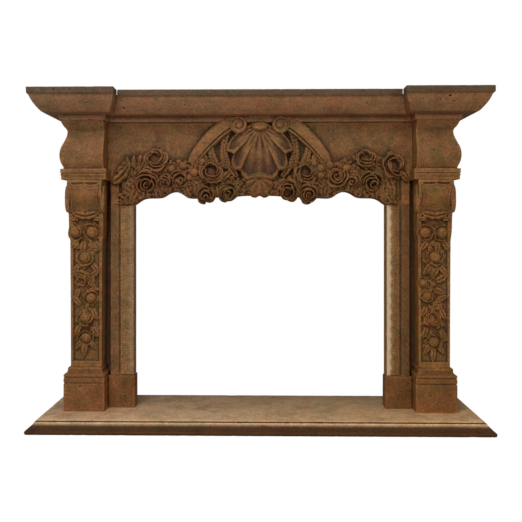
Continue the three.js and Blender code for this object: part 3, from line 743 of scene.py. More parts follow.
# Each flower: x, z, radius, kind, tilt, leaning towards, spin
SHAFT_FLOWERS = {
    "left": [
        (-42, 553, 36, BUD_ROSE, 30, 200, 0), (27, 552, 37, BUD_ROSE, 14, 270, 40),
        (-4, 447, 34, BUD_ROSE, 10, 90, 20), (-12, 364, 33, OPEN_ROSE, 34, 240, 10),
        (20, 283, 32, BUD_ROSE, 18, 300, 50), (-4, 199, 32, BUD_ROSE, 20, 90, 30),
        (0, 122, 32, BUD_ROSE, 12, 270, 0),
    ],
    "right": [
        (-38, 551, 35, BUD_ROSE, 20, 250, 15), (27, 551, 35, BUD_ROSE, 22, 320, 0),
        (2, 447, 34, BUD_ROSE, 14, 90, 60), (-42, 346, 26, BUD_ROSE, 30, 190, 0),
        (-30, 289, 27, BUD_ROSE, 26, 100, 0), (-8, 199, 33, OPEN_ROSE, 30, 90, 0),
        (-4, 107, 32, BUD_ROSE, 14, 270, 30),
    ],
}
SHAFT_LEAVES = {
    "left": [
        (-8, 515, 56, 28, 255, 20), (-34, 520, 46, 24, 240, -10), (34, 515, 48, 24, 300, 10),
        (24, 425, 50, 24, 300, 15), (-26, 420, 44, 22, 230, 10), (12, 330, 50, 24, 60, 20),
        (18, 372, 42, 24, 20, 40), (-24, 250, 52, 24, 120, 20), (-30, 320, 44, 22, 250, 10),
        (26, 240, 50, 24, 290, 10), (-26, 170, 46, 24, 250, -10), (26, 165, 48, 24, 300, 0),
        (-4, 100, 54, 26, 262, 10), (-22, 105, 40, 20, 235, 0), (18, 105, 40, 20, 305, 0),
        (-34, 480, 40, 20, 100, 10),
    ],
    "right": [
        (10, 512, 52, 26, 280, -20), (-30, 515, 46, 24, 240, -10), (36, 512, 48, 24, 300, 10),
        (-16, 420, 50, 24, 240, -10), (24, 415, 46, 24, 300, 10), (6, 352, 58, 28, 20, 30),
        (-2, 322, 52, 26, 330, 20), (-10, 372, 46, 24, 60, -20), (8, 268, 50, 24, 40, -20),
        (26, 240, 48, 24, 290, 10), (-30, 165, 46, 24, 250, 0), (24, 155, 48, 24, 300, 0),
        (-4, 84, 58, 24, 268, 0), (-20, 90, 40, 20, 235, 0), (16, 90, 40, 20, 305, 0),
        (-34, 250, 40, 22, 250, 0),
    ],
}


def shield_bodies():
    """The console's face: a smooth lobed field with a bracket top, rolled sides and a leafy lip."""
    half = CONSOLE_WIDTH / 2 - PANEL_RIM
    low, high = SHAFT_HEIGHT * 0.822, SHAFT_HEIGHT * 0.982
    v = np.linspace(0, 1, 41)[:, None]
    u = np.linspace(-1, 1, 33)[None, :]
    top_edge = high - 7 * np.abs(np.sin(math.pi * (u + 1))) ** 0.8 - 5 * (np.abs(u) > 0.95)
    low_edge = low - 5 * np.cos(math.pi * u)
    z = low_edge + (top_edge - low_edge) * v
    waist = half * (0.93 + 0.07 * np.cos(2 * math.pi * v))
    x = u * waist
    rim = np.exp(-((1 - v) / 0.05) ** 2) * 4.5 + np.exp(-((0.87 - v) / 0.035) ** 2) * 2.2
    sides = np.exp(-((1 - np.abs(u)) / 0.08) ** 2) * 3.0
    field = 7 + 4 * np.cos(u * math.pi / 2) * np.sin(math.pi * v) + rim + sides
    top = np.stack(np.broadcast_arrays(x, z, field), axis=2)
    bodies = [standing(top, -CARVING_ROOT)]
    for side in (-1, 1):
        bodies += leaf(-side * 8, low - 13, half * 1.02, 31, 90 - side * 84, side * 16, height=19, teeth=2)
        bodies += leaf(side * half * 0.5, low - 22, half * 0.5, 18, 90 - side * 100, side * 30, height=15,
                       teeth=1)
    return bodies


def ear_body(side):
    """The rolled side of the console."""
    angles = np.linspace(0, 2 * math.pi, 40, endpoint=False)
    middle_z, reach = SHAFT_HEIGHT * 0.9, SHAFT_HEIGHT * 0.074
    rings = []
    for share, out in ((1, -8), (1, 4), (0.92, 9), (0.78, 10), (0.7, 8), (0.55, 10.5), (0.3, 12)):
        rings.append([(side * (CONSOLE_WIDTH / 2 + out),
                       SHAFT_FRONT_Y - CONSOLE_OUT * 0.2 + share * CONSOLE_OUT * 0.6 * math.cos(a),
                       middle_z + share * reach * math.sin(a)) for a in angles])
    top = np.array(rings[1:])
    bottom = np.repeat(np.array(rings[:1]), len(rings) - 1, axis=0)
    centre = bottom.mean(axis=(0, 1))
    shares = np.array([1, 0.92, 0.78, 0.7, 0.55, 0.3])[:, None, None]
    bottom = centre + (bottom - centre) * shares
    return between(top, bottom, closed=True)


def make_pilaster(side):
    name = hand(side)
    zs = np.concatenate([[0, SHAFT_HEIGHT * 0.6], np.linspace(0.67, 1, 34) * SHAFT_HEIGHT])
    levels = [(-shaft_half(z), shaft_half(z), SHAFT_FRONT_Y - float(console_out(z)), BACK_Y, z) for z in zs]
    shaft = stack(f"shaft_{name}", levels)
    half = SHAFT_FOOT_WIDTH / 2 - PANEL_RIM
    foot = PANEL_SINK + 18
    panel = between(front_grid(-half, half, foot, SHAFT_HEIGHT * 0.985, 60),
                    front_grid(-half, half, foot, SHAFT_HEIGHT * 0.985, -PANEL_SINK))
    cut(shaft, tidy(from_bodies("sunk_panel", [panel])))
    carving = shield_bodies()
    for x, z, radius, kind, tilt, towards, spin in SHAFT_FLOWERS[name]:
        carving += placed_rose(x, z, radius, SHAFT_ROSE_OUT, kind, tilt, towards, spin, lift=1.0,
                               thickness=3.2)
    for x, z, length, width, angle, bend in SHAFT_LEAVES[name]:
        carving += leaf(x, z, length, width, angle, bend, height=SHAFT_LEAF_OUT, teeth=3)
    for z in range(88, 520, 26):
        carving += tuft(rng.uniform(-36, 36), z + rng.uniform(-8, 8), *SHAFT_TUFT)
    bodies = on_front(carving, shaft_ground) + [ear_body(-1), ear_body(1)]
    shaft = joined(f"shaft_carved_{name}", [shaft, from_bodies("shaft_carving", bodies)])
    shaft.data.transform(Matrix.Translation((side * UPPER_CENTRE * MM, 0, shaft_low[2] * MM)))
    return finish_stone(shaft, f"pilaster_{name}", voxel=1.8, triangles=130000, chip=1.6, rough=0.3,
                        seed=23 + side, clip=False)


# The slips beside the opening

def slip_bodies(side, low_z, high_z, ribbed):
    outer = OPENING_HALF + SLIP_BEAD + RIB_STRIP + SLIP_GROOVE + SLIP_FLAT
    flat = outer - SLIP_FLAT
    strip = flat - SLIP_GROOVE
    bead = strip - RIB_STRIP
    front, back = SLIP_FRONT_Y, panel_high[1]
    tongue = UPPER_CENTRE - CONSOLE_WIDTH / 2 - JOINT
    section = [
        (OPENING_HALF, front + 5), *bowed((OPENING_HALF + 0.5, front + 3), (bead - 0.5, front + 3), 2.5, 5),
        (bead, front + RIB_OUT + 3), (flat - 0.5, front + RIB_OUT + 3), (flat, front), (outer, front),
        (outer, front + REBATE), (tongue, front + REBATE), (tongue, back), (OPENING_HALF, back),
    ]
    rings = [[(side * x, y, z) for x, y in section] for z in (low_z, high_z)]
    outline = np.array(rings)
    faces = [tuple(range(len(section)))[::-1], tuple(range(len(section), 2 * len(section)))]
    count = len(section)
    faces += [(i, (i + 1) % count, count + (i + 1) % count, count + i) for i in range(count)]
    bodies = [(outline.reshape(-1, 3), faces)]
    if ribbed:
        number = int((high_z - low_z) / RIB_PITCH)
        rest = (high_z - low_z - number * RIB_PITCH) / 2
        for i in range(number):
            z0 = low_z + rest + (i + 0.12) * RIB_PITCH
            zs = z0 + np.linspace(0, 0.76 * RIB_PITCH, 9)[:, None]
            out = RIB_OUT * (0.55 + 0.3 * np.sin(np.linspace(0.12, math.pi - 0.12, 9)) ** 0.6)
            out[4] *= 0.8
            xs = side * np.linspace(bead + 1.5, strip - 1.5, 2)[None, :]
            y = front + RIB_OUT + 3 - out[:, None]
            top = np.stack(np.broadcast_arrays(xs, y + 0 * xs, zs), axis=2)
            bottom = top.copy()
            bottom[:, :, 1] = front + RIB_OUT + 12
            bodies.append(between(top, bottom))
    return bodies


def slip_tone_shade_and_highlight(x, y, z):
    """The ribs' inner ends get a painted highlight, the smooth strip is browner and the recess gets painted
    shade.
    """
    across = np.abs(x)
    ragged = across + 3 * np.sin(z * 2 * math.pi / RIB_PITCH) + 2 * np.sin(z / 7.3)
    # Painted highlight along the ribs' inner ends
    strip = smoothstep(*HIGHLIGHT_INNER_EDGE, across) * smoothstep(*HIGHLIGHT_OUTER_EDGE, ragged)
    bead_highlight = strip * np.where(x > 0, 0.9, 0.12)
    browner_and_recess_shade = 0.5 * (x > 0) + np.where(x > 0, 0.3, 0.6) * smoothstep(*FLAT_EDGE, across)
    # Painted shade in the recess behind the legs
    browner_and_recess_shade = np.maximum(browner_and_recess_shade, recess_painted_shade(x, y))
    return np.where(across > RIBS_MIDDLE, browner_and_recess_shade, -bead_highlight * (y < SLIP_FRONT_Y + 16))


def make_slip(side):
    slip = tidy(from_bodies(f"ribbed_slip_{hand(side)}", slip_bodies(side, slip_low[2], slip_high[2], True)))
    return finish_stone(slip, f"slip_{hand(side)}", voxel=1.8, triangles=52000, chip=1.6, rough=0.3,
                        seed=27 + side, patina_and_shade=slip_tone_shade_and_highlight)


def make_slip_plinth(side):
    low, high = span("slip_plinth_right")
    inner, outer = low[0], low[0] + SLIP_PLINTH_WIDTH
    base = block(f"slip_foot_{hand(side)}", (min(side * inner, side * outer), low[1], low[2]),
                 (max(side * inner, side * outer), high[1], high[2]))
    reach = plinth_low[0] - JOINT
    tongue = block("slip_foot_tongue", (min(side * inner, side * reach), SLIP_FRONT_Y + REBATE, low[2]),
                   (max(side * inner, side * reach), high[1], high[2]))
    base = joined(base.name, [base, tongue])
    return finish_stone(base, f"slip_plinth_{hand(side)}", voxel=2.2, triangles=9000, chip=2.0, rough=0.3,
                        seed=31 + side, patina_and_shade=lambda x, y, z: SLIP_PLINTH_PATINA + 0 * z)


# The carved frieze panel

# The garland's lower and upper edges, by distance from the middle: x, z
GARLAND_HALF_EDGE = [
    (0, 930), (60, 930), (110, 926), (160, 924), (230, 921), (292, 919), (322, 936), (350, 946),
    (378, 939), (412, 921), (480, 917), (523, 891.3),
]
GARLAND_HALF_TOP = [
    (0, 1000), (90, 990), (150, 1030), (200, 1060), (280, 1050), (380, 1050), (450, 1105), (500, 1090),
    (560, 1080), (600, 1040),
]
# Flowers: x, z, radius, kind, tilt, leaning towards, spin
FRIEZE_FLOWERS = [
    (-431.6, 1075, 49, OPEN_ROSE, 26, 110, 0), (-468, 985, 52, FULL_ROSE, 24, 290, 20),
    (-383, 992, 34, FULL_ROSE, 30, 230, 0), (-333, 999, 38, FULL_ROSE, 20, 330, 45),
    (-201, 1024, 49, OPEN_ROSE, 26, 70, 30), (-222, 937, 37, FULL_ROSE, 24, 270, 10),
    (-130, 944, 40, FULL_ROSE, 20, 285, 60), (121, 950, 41, OPEN_ROSE, 20, 260, 0),
    (187, 1022, 41, OPEN_ROSE, 16, 45, 20), (202, 938, 41, FULL_ROSE, 22, 275, 35),
    (320.5, 1005, 43, FULL_ROSE, 18, 120, 0), (392, 990, 30, FULL_ROSE, 30, 200, 25),
    (440, 1077, 43, OPEN_ROSE, 36, 100, 0), (466, 987, 52, FULL_ROSE, 16, 270, 50),
    (545, 1051, 50, OPEN_ROSE, 30, 30, 10),
]
FRIEZE_BERRIES = [
    (-363, 1040, 17), (-317, 1053, 17), (-269, 1026, 18), (-292, 1004, 14), (254, 1043, 18), (289, 1055, 17),
    (254, 1012, 17), (358, 1042, 17), (226, 1062, 13), (-236, 1072, 13),
]
# Leaves: x, z, length, width, angle, bend
FRIEZE_LEAVES = [
    (-560, 1006, 60, 24, 196, 14), (-530, 1050, 46, 17, 140, -50), (-516, 1054, 44, 16, 115, -40),
    (-498, 1056, 44, 15, 95, -30), (-480, 1058, 38, 14, 80, -20), (-520, 1000, 60, 30, 215, 30),
    (-506, 960, 62, 34, 236, 20), (-522, 940, 52, 28, 250, 20), (-470, 955, 44, 34, 262, 10),
    (-425, 955, 46, 34, 285, 10), (-400, 1030, 60, 28, 300, -30), (-372, 975, 44, 30, 250, 20),
    (-345, 965, 40, 26, 275, 0), (-312, 968, 50, 30, 300, -20), (-285, 990, 66, 32, 330, -40),
    (-268, 985, 66, 30, 290, -20), (-285, 1010, 60, 28, 60, 40), (-243, 985, 46, 28, 215, 20),
    (-165, 985, 60, 30, 95, -30), (-170, 975, 60, 30, 275, 10), (-92, 1004, 72, 28, 120, 20),
    (-84, 985, 62, 28, 250, -20), (-150, 1000, 46, 26, 40, 20), (84, 985, 62, 28, 290, 20),
    (92, 1004, 72, 28, 60, -20), (150, 985, 56, 28, 80, 30), (160, 980, 56, 30, 262, 0),
    (240, 990, 50, 28, 310, 20), (262, 975, 56, 32, 270, 0), (288, 968, 54, 30, 240, 20),
    (280, 1020, 60, 28, 130, -40), (350, 960, 44, 30, 262, 0), (372, 985, 50, 30, 280, -20),
    (410, 955, 48, 34, 262, -10), (400, 1030, 56, 28, 240, 30), (500, 1010, 54, 28, 40, 20),
    (528, 1010, 88, 36, 285, 14), (520, 975, 80, 36, 262, 14), (548, 985, 76, 30, 262, 20),
    (470, 955, 46, 34, 285, -10), (505, 955, 60, 32, 285, -20), (580, 1030, 56, 26, 300, 20),
]
# The leaf that curls up at the left corner: x, z, length, width, angle, bend
CORNER_LEAF = (-612, 984, 112, 38, 22, 52)
# Fern sprays between the shell and the scrolls: x, z, length, angle, bend, leaflet length
FERNS = [(128, 1040, 150, 62, 52, 34), (176, 1050, 120, 58, 40, 30), (214, 1056, 66, 62, 20, 24)]
SHELL_HINGE = (0, 1213)
# Reach of the shell's edge from the hinge, by degrees from straight down
SHELL_EDGE = [
    (0, 212), (6, 215), (14, 226), (20, 214), (23, 198), (26, 200), (31, 206), (38, 190), (43, 158),
    (47, 158), (54, 170), (62, 146), (70, 112), (80, 78), (95, 44), (125, 30), (155, 24), (180, 22),
]
SHELL_LOBES = [(0, 23), (23, 43.5), (43.5, 84)]
SHELL_RISE = 30
# The fan of leaves under the shell: its reach from its hinge, by degrees from straight down
FAN_HINGE_Z = 1002
FAN_EDGE = [(0, 70), (12, 82), (24, 84), (36, 70), (48, 74), (62, 66), (90, 52), (130, 30), (180, 22)]
# The right-hand scroll's middle line: x, z, half width; and its volute: x, z, radius
SCROLL_PATH = [
    (282, 1062, 18), (264, 1092, 25), (233, 1131, 29), (198, 1168, 32), (160, 1202, 33), (122, 1226, 31),
    (92, 1236, 24),
]
VOLUTE = (87, 1221, 35)


def garland_edge(x):
    xs = [point[0] for point in GARLAND_HALF_EDGE]
    smooth = np.array(through(GARLAND_HALF_EDGE, 66))
    return np.interp(np.clip(np.abs(x), xs[0], xs[-1]), smooth[:, 0], smooth[:, 1])


def panel_base():
    """The slab behind the carving, fitted between the frieze blocks, with the slips' section at its feet."""
    right = through(GARLAND_HALF_EDGE, 44)
    block_foot = block_low[2]
    side = [(OPENING_HALF, block_foot)]
    for z, out in block_profile(block_high[2] - block_low[2], BAND_OUT, BELLY_OUT, BAND_HEIGHT):
        side.append((INNER_NECK - block_return(z, out) - JOINT, block_foot + z))
    half = right + side
    outline = half + [(-x, z) for x, z in half[::-1] if abs(x) > 1e-6]
    front = [(x, FIELD_Y, z) for x, z in outline]
    back = [(x, panel_high[1], z) for x, z in outline]
    count = len(outline)
    faces = [tuple(range(count)), tuple(range(count, 2 * count))[::-1]]
    faces += [(i, count + i, count + (i + 1) % count, (i + 1) % count) for i in range(count)]
    base = tidy(from_bodies("frieze_slab", [(np.array(front + back), faces)]))
    corners = [tidy(from_bodies("frieze_corner", slip_bodies(side, panel_low[2], block_foot - JOINT, False)))
               for side in (-1, 1)]
    return joined("frieze_slab", [base, *corners])


def garland_bed():
    """The lumpy ground of the garland."""
    x = np.linspace(-575, 575, 231)[None, :]
    t = np.linspace(0, 1, 22)[:, None]
    low = garland_edge(x) + 1
    upper = np.interp(np.abs(x), *np.array(GARLAND_HALF_TOP).T)
    z = low + (upper - low) * t
    flat = np.stack(np.broadcast_arrays(x, z, 0 * z), axis=2)
    lumps = noise(flat.reshape(-1, 3), 14, 5).reshape(z.shape)
    swell = np.sin(math.pi * np.clip(t * 0.8 + 0.18, 0, 1)) ** 0.5
    out = (9 + 4 * lumps) * swell * smoothstep(600, 540, np.abs(x))
    top = flat.copy()
    top[:, :, 2] = out
    return [standing(top, -BED_ROOT)]


def shell_bodies():
    """The shell: spoon-shaped lobes with lips round a fluted middle, a boss at its hinge and a neck above."""
    edge = np.array(SHELL_EDGE)
    angle = np.radians(np.linspace(-180, 180, 241))[None, :-1]
    share = np.linspace(0.08, 1, 40)[:, None]
    turn = np.degrees(np.abs(angle))
    reach = np.interp(turn, edge[:, 0], edge[:, 1])
    out = 17 + 12 * np.exp(-(share / 0.22) ** 2) + 6 * share ** 3 + 0 * angle
    for first, last in SHELL_LOBES:
        inside = (turn >= first) & (turn < last)
        t = np.clip((turn - first) / (last - first), 0, 1)
        if first == 0:
            spoon = 0.14 + 0.2 * t ** 2
        else:
            spoon = 1.05 * (1 - t) ** 1.6 + 0.28 * t ** 3
        lip = 0.5 * smoothstep(0.86, 1, share) - 0.35 * np.exp(-((share - 0.72) / 0.16) ** 2)
        out = out + inside * SHELL_RISE * share ** 1.4 * (spoon * 0.62 + lip * 0.45)
    flutes = np.cos(np.radians(turn) * 20) * np.exp(-((share - 0.3) / 0.17) ** 2) * 2.4
    rays = np.cos(np.radians(turn) * 26) * smoothstep(0.35, 0.7, share) * 0.5
    out = out + (flutes + rays) * (turn < 88)
    fall = smoothstep(1.0, 0.955, share)
    out = out * (0.75 + 0.25 * fall)
    px = SHELL_HINGE[0] + share * reach * np.sin(angle)
    pz = SHELL_HINGE[1] - share * reach * np.cos(angle)
    bodies = [standing(np.stack([px, pz, out], axis=2)[::-1], -CARVING_ROOT, closed=True)]
    bodies += moved([dome(31, 15, 30, squash=0.66)], 0, 1214, 24)
    bodies += moved([dome(20, 7, 10, squash=0.5)], 0, 1208, 38)
    neck = [(-42, -44), (-36, -30), (36, 30), (42, 44)]
    top = np.array([[(low, 1232, 18), (high, 1262, 30)] for low, high in neck])
    bodies.append(standing(top, -BED_ROOT))
    return bodies


def fan_bodies():
    """The fan of leaves that hangs under the shell."""
    edge = np.array(FAN_EDGE)
    angle = np.radians(np.linspace(-180, 180, 145))[None, :-1]
    share = np.linspace(0.06, 1, 20)[:, None]
    turn = np.degrees(np.abs(angle))
    reach = np.interp(turn, edge[:, 0], edge[:, 1])
    ribs = np.cos(np.radians(turn) * 11) * 2.4 * smoothstep(0.1, 0.5, share) * (turn < 100)
    out = 22 + 6 * np.sin(math.pi * share) + ribs - 7 * smoothstep(0.85, 1, share)
    px = share * reach * np.sin(angle)
    pz = FAN_HINGE_Z - share * reach * np.cos(angle)
    top = np.stack(np.broadcast_arrays(px, pz, out), axis=2)[::-1]
    return [standing(top, CARVING_ROOT - FIELD_DEPTH, closed=True)]


def scroll_bodies():
    """The right-hand C-scroll: a broad rounded band with a bead along its inner edge, ending in a volute."""
    path = np.array(through(SCROLL_PATH, 60))
    along = np.gradient(path[:, :2], axis=0)
    along /= np.linalg.norm(along, axis=1, keepdims=True)
    across = np.stack([-along[:, 1], along[:, 0]], axis=1)
    u = np.linspace(-1, 1, 25)
    body = 0.94 - 0.5 * np.abs(u) ** 4 - 0.08 * u
    groove = np.exp(-((u - 0.56) / 0.07) ** 2) * 0.34
    bead = np.exp(-((u - 0.8) / 0.12) ** 2) * 0.22
    profile = np.clip(body - groove + bead, 0.05, 2)
    px = path[:, 0, None] + across[:, 0, None] * path[:, 2, None] * u
    pz = path[:, 1, None] + across[:, 1, None] * path[:, 2, None] * u
    rise = 20 + 12 * smoothstep(0, 40, np.arange(61))
    out = rise[:, None] * profile
    band = standing(np.stack([px, pz, out], axis=2), -CARVING_ROOT)
    x, z, radius = VOLUTE
    angle = np.linspace(0, 2 * math.pi, 97)[None, :-1]
    share = np.linspace(0.05, 1, 26)[:, None]
    coil = np.cos(2 * math.pi * (share * 1.9 + angle / (2 * math.pi)))
    height = 32 + 1.5 * coil * smoothstep(0.05, 0.3, share) + 3 * np.exp(-(share / 0.25) ** 2)
    height = height - 5 * smoothstep(0.92, 1, share)
    px, pz = x + radius * share * np.cos(angle), z + radius * share * np.sin(angle)
    return [band, standing(np.stack([px, pz, height], axis=2)[::-1], -CARVING_ROOT, closed=True)]


def through_disc(x, z, radius, back):
    """The thickness of the panel behind a flower that hangs below its edge."""
    angles = np.linspace(0, 2 * math.pi, 28, endpoint=False)
    rings = [[(x + radius * s * math.cos(a), z + radius * s * math.sin(a), out) for a in angles]
             for s, out in ((1, -back), (1, 4), (0.8, 9), (0.1, 10))]
    return standing(np.array(rings), -back, closed=True)


def garland_patina_and_shade(x, y, z):
    """The garland has darkened with dirt; dirt and painted shade darken the roses' hollows, and painted shade
    the recess behind the legs.
    """
    garland = 0.42 * (1 - smoothstep(1050, 1120, z)) * (1 - smoothstep(560, 600, np.abs(x)))
    garland = garland + 0.16 * (1 - smoothstep(960, 1010, z)) * (np.abs(x) < 480)
    out = FIELD_Y - y
    # Painted shade and dirt deep in and around each rose, most in the open ones
    for rose_x, rose_z, radius, kind, *_ in FRIEZE_FLOWERS:
        away = np.hypot(x - rose_x, z - rose_z) / radius
        deep = 0.75 if kind is OPEN_ROSE else 0.5
        garland = garland + deep * smoothstep(0.85, 0.45, away) * smoothstep(36, 16, out)
    return garland * (out > -12) + recess_painted_shade(x, y)


def above_edge(bodies):
    """Keeps leaves from hanging below the panel's scalloped edge."""
    kept = []
    for points, faces in bodies:
        raised = points.copy()
        raised[:, 1] = np.maximum(points[:, 1], garland_edge(points[:, 0]) + 1)
        kept.append((raised, faces))
    return kept


def ground_tufts():
    """Crumpled leaves all over the garland's bed, but not on the flowers."""
    bodies = []
    for x in range(-560, 561, 22):
        low, high = garland_edge(x) + 14, 1062 if 150 < abs(x) < 580 else 1000
        for z in np.arange(low, high, 24):
            px, pz = x + rng.uniform(-9, 9), z + rng.uniform(-9, 9)
            if all(math.hypot(px - fx, pz - fz) > 0.8 * radius for fx, fz, radius, *_ in FRIEZE_FLOWERS):
                bodies += tuft(px, pz, *FRIEZE_TUFT)
    return above_edge(bodies)


def make_frieze_panel():
    carving = garland_bed() + ground_tufts() + shell_bodies() + fan_bodies()
    scroll = scroll_bodies()
    carving += scroll + mirrored(scroll)
    for x, z, radius, kind, tilt, towards, spin in FRIEZE_FLOWERS:
        carving += placed_rose(x, z, radius, FRIEZE_ROSE_OUT, kind, tilt, towards, spin, lift=7)
        if z < 960:
            carving.append(through_disc(x, z, radius * 0.92, FIELD_DEPTH - 2))
    for x, z, radius in FRIEZE_BERRIES:
        carving += moved([dome(radius, radius, 12)], x, z, 12)
    for x, z, length, width, angle, bend in FRIEZE_LEAVES:
        carving += above_edge(leaf(x, z, length, width, angle, bend, height=FRIEZE_LEAF_OUT, lift=4))
    carving += leaf(*CORNER_LEAF, height=24, lift=12, teeth=3)
    for fern in FERNS:
        spray = fern_spray(*fern)
        carving += spray + mirrored(spray)
    relief = from_bodies("frieze_carving", on_front(carving, FIELD_Y))
    panel = joined("frieze_carved", [panel_base(), relief])
    return finish_stone(panel, "frieze_panel", voxel=2.0, triangles=198000, chip=1.6, rough=0.35, seed=41,
                        clip=False, patina_and_shade=garland_patina_and_shade)


# Materials

def fresh_tree(owner):
    owner.use_nodes = True
    owner.node_tree.nodes.clear()
    return owner.node_tree


def add(tree, kind, inputs=(), **settings):
    node = tree.nodes.new(kind)
    for name, value in settings.items():
        setattr(node, name, value)
    for name, value in dict(inputs).items():
        socket = node.inputs[name]
        if isinstance(value, bpy.types.NodeSocket):
            tree.links.new(value, socket)
        else:
            socket.default_value = value
    return node


def grain(tree, place, scale, detail=4.0, rough=0.55, stretch=None, warp=0.0):
    if stretch:
        place = add(tree, "ShaderNodeMapping", {"Vector": place, "Scale": stretch}).outputs["Vector"]
    inputs = {"Vector": place, "Scale": scale, "Detail": detail, "Roughness": rough, "Distortion": warp}
    return add(tree, "ShaderNodeTexNoise", inputs).outputs["Fac"]


def share_along(tree, place, axis, low, high):
    """How far a place is from low to high along an axis, in metres."""
    value = add(tree, "ShaderNodeSeparateXYZ", {"Vector": place}).outputs[axis]
    span = {"Value": value, "From Min": low, "From Max": high}
    return add(tree, "ShaderNodeMapRange", span).outputs["Result"]


def ramp(tree, value, stops):
    node = add(tree, "ShaderNodeValToRGB", {"Fac": value})
    elements = node.color_ramp.elements
    while len(elements) < len(stops):
        elements.new(0.5)
    for element, (place, colour) in zip(elements, stops):
        element.position = place
        element.color = (*colour, 1) if isinstance(colour, tuple) else (colour, colour, colour, 1)
    return node.outputs["Color"]


def mix(tree, kind, amount, first, second):
    node = add(tree, "ShaderNodeMix", data_type="RGBA", blend_type=kind)
    for socket, value in ((node.inputs[0], amount), (node.inputs[6], first), (node.inputs[7], second)):
        if isinstance(value, bpy.types.NodeSocket):
            tree.links.new(value, socket)
        elif socket.type == "RGBA" and not isinstance(value, tuple):
            socket.default_value = (value, value, value, 1)
        elif socket.type == "RGBA":
            socket.default_value = (*value, 1)
        else:
            socket.default_value = value
    return node.outputs[2]


def linear(red, green, blue):
    """Shader colour from 0 to 255 screen values."""
    return tuple(((c / 255 + 0.055) / 1.055) ** 2.4 for c in (red, green, blue))


# Tints of the stone from left to right and from low to high, and the colour of the painted highlight on the
# ribs' bead
SIDE_TINTS = [(0.0, (1, 1, 1)), (1.0, (0.94, 0.9, 0.74))]
HEIGHT_TINTS = [(0.0, (1.03, 0.98, 0.8)), (1.0, (1, 1, 1))]
HIGHLIGHT_STONE = (0.95, 0.8, 0.7)


def stone(name, ground, warm, olive, dark, light, tint, pick, bands, pits, hollows=1.0, grit=0.8):
    """Travertine: patches, bedding, specks and pits; darker with dirt and painted shade in hollows and where
    darkening is marked, paler on rubbed edges and under a painted highlight.
    """
    material = bpy.data.materials.new(name)
    tree = fresh_tree(material)
    place = add(tree, "ShaderNodeTexCoord").outputs["Object"]
    patch = ramp(tree, grain(tree, place, 4.2, 5, 0.6, warp=0.6), [(0.3, olive), (0.5, ground), (0.7, warm)])
    blotch = grain(tree, place, 17, 4, 0.6, warp=0.4)
    patch = mix(tree, "MIX", ramp(tree, blotch, [(0.46, 0.0), (0.62, 0.7)]), patch, warm)
    patch = mix(tree, "MIX", ramp(tree, blotch, [(0.36, 0.75), (0.5, 0.0)]), patch, olive)
    mottle = grain(tree, place, 30, 6, 0.66)
    colour = mix(tree, "MIX", ramp(tree, mottle, [(0.4, 0.0), (0.7, 0.7)]), patch, light)
    shade = ramp(tree, grain(tree, place, 11, 6, 0.66), [(0.5, 0.0), (0.72, 0.6)])
    colour = mix(tree, "MIX", shade, colour, dark)
    bedding = grain(tree, place, 3.0, 6, 0.65, stretch=(1.2, 2.0, 26.0), warp=0.3)
    colour = mix(tree, "MULTIPLY", bands, colour, ramp(tree, bedding, [(0.3, 0.62), (0.5, 1.0), (0.7, 1.12)]))
    speck = grain(tree, place, 125, 3, 0.7)
    colour = mix(tree, "MULTIPLY", grit, colour, ramp(tree, speck, [(0.32, 0.5), (0.5, 1.0), (0.68, 1.4)]))
    cells = add(tree, "ShaderNodeTexVoronoi", {"Vector": place, "Scale": 105, "Randomness": 1.0})
    where = ramp(tree, grain(tree, place, 16, 4, 0.6), [(0.56, 0.0), (0.64, 1.0)])
    pit = mix(tree, "MULTIPLY", 1.0, ramp(tree, cells.outputs["Distance"], [(0.1, 1.0), (0.22, 0.0)]), where)
    colour = mix(tree, "MIX", mix(tree, "MULTIPLY", 1.0, pit, pits), colour, tuple(c * 0.35 for c in dark))
    # Darker tone, dirt and painted shade where marked
    patina_and_shade = add(tree, "ShaderNodeAttribute", attribute_name="patina_and_shade").outputs["Fac"]
    colour = mix(tree, "MULTIPLY", patina_and_shade, colour, tint)
    # Painted highlight on the bead of the slips' ribs, strongest on the right
    bead_highlight = add(tree, "ShaderNodeAttribute", attribute_name="bead_highlight").outputs["Fac"]
    colour = mix(tree, "MIX", bead_highlight, colour, HIGHLIGHT_STONE)
    side = ramp(tree, share_along(tree, place, "X", -0.9, 0.9), SIDE_TINTS)
    colour = mix(tree, "MULTIPLY", 1.0, colour, side)
    level = ramp(tree, share_along(tree, place, "Z", 0.9, 1.15), HEIGHT_TINTS)
    colour = mix(tree, "MULTIPLY", 1.0, colour, level)
    # Painted shade and dirt darken the hollows; rubbed edges are paler
    hollow = add(tree, "ShaderNodeAttribute", attribute_name="hollow").outputs["Fac"]
    hollow_shade_and_dirt_ramp = ramp(tree, hollow, [(0.0, 1.42), (0.38, 1.1), (0.52, 1.0), (0.72, 0.58), (1.0, 0.28)])
    colour = mix(tree, "MULTIPLY", hollows, colour, hollow_shade_and_dirt_ramp)
    picks = grain(tree, place, 150, 2, 0.6)
    skin = mix(tree, "MIX", 0.4, mix(tree, "MIX", 0.5, picks, mottle), speck)
    skin = mix(tree, "SUBTRACT", 1.0, skin, mix(tree, "MULTIPLY", 1.0, pit, 0.8))
    bump = add(tree, "ShaderNodeBump", {"Height": skin, "Strength": pick, "Distance": 0.006})
    rough = ramp(tree, mottle, [(0.3, 0.62), (0.7, 0.84)])
    shader = add(tree, "ShaderNodeBsdfPrincipled", {
        "Base Color": colour, "Roughness": rough, "Normal": bump.outputs["Normal"],
        "Specular IOR Level": 0.35})
    output = add(tree, "ShaderNodeOutputMaterial")
    tree.links.new(shader.outputs["BSDF"], output.inputs["Surface"])
    return material


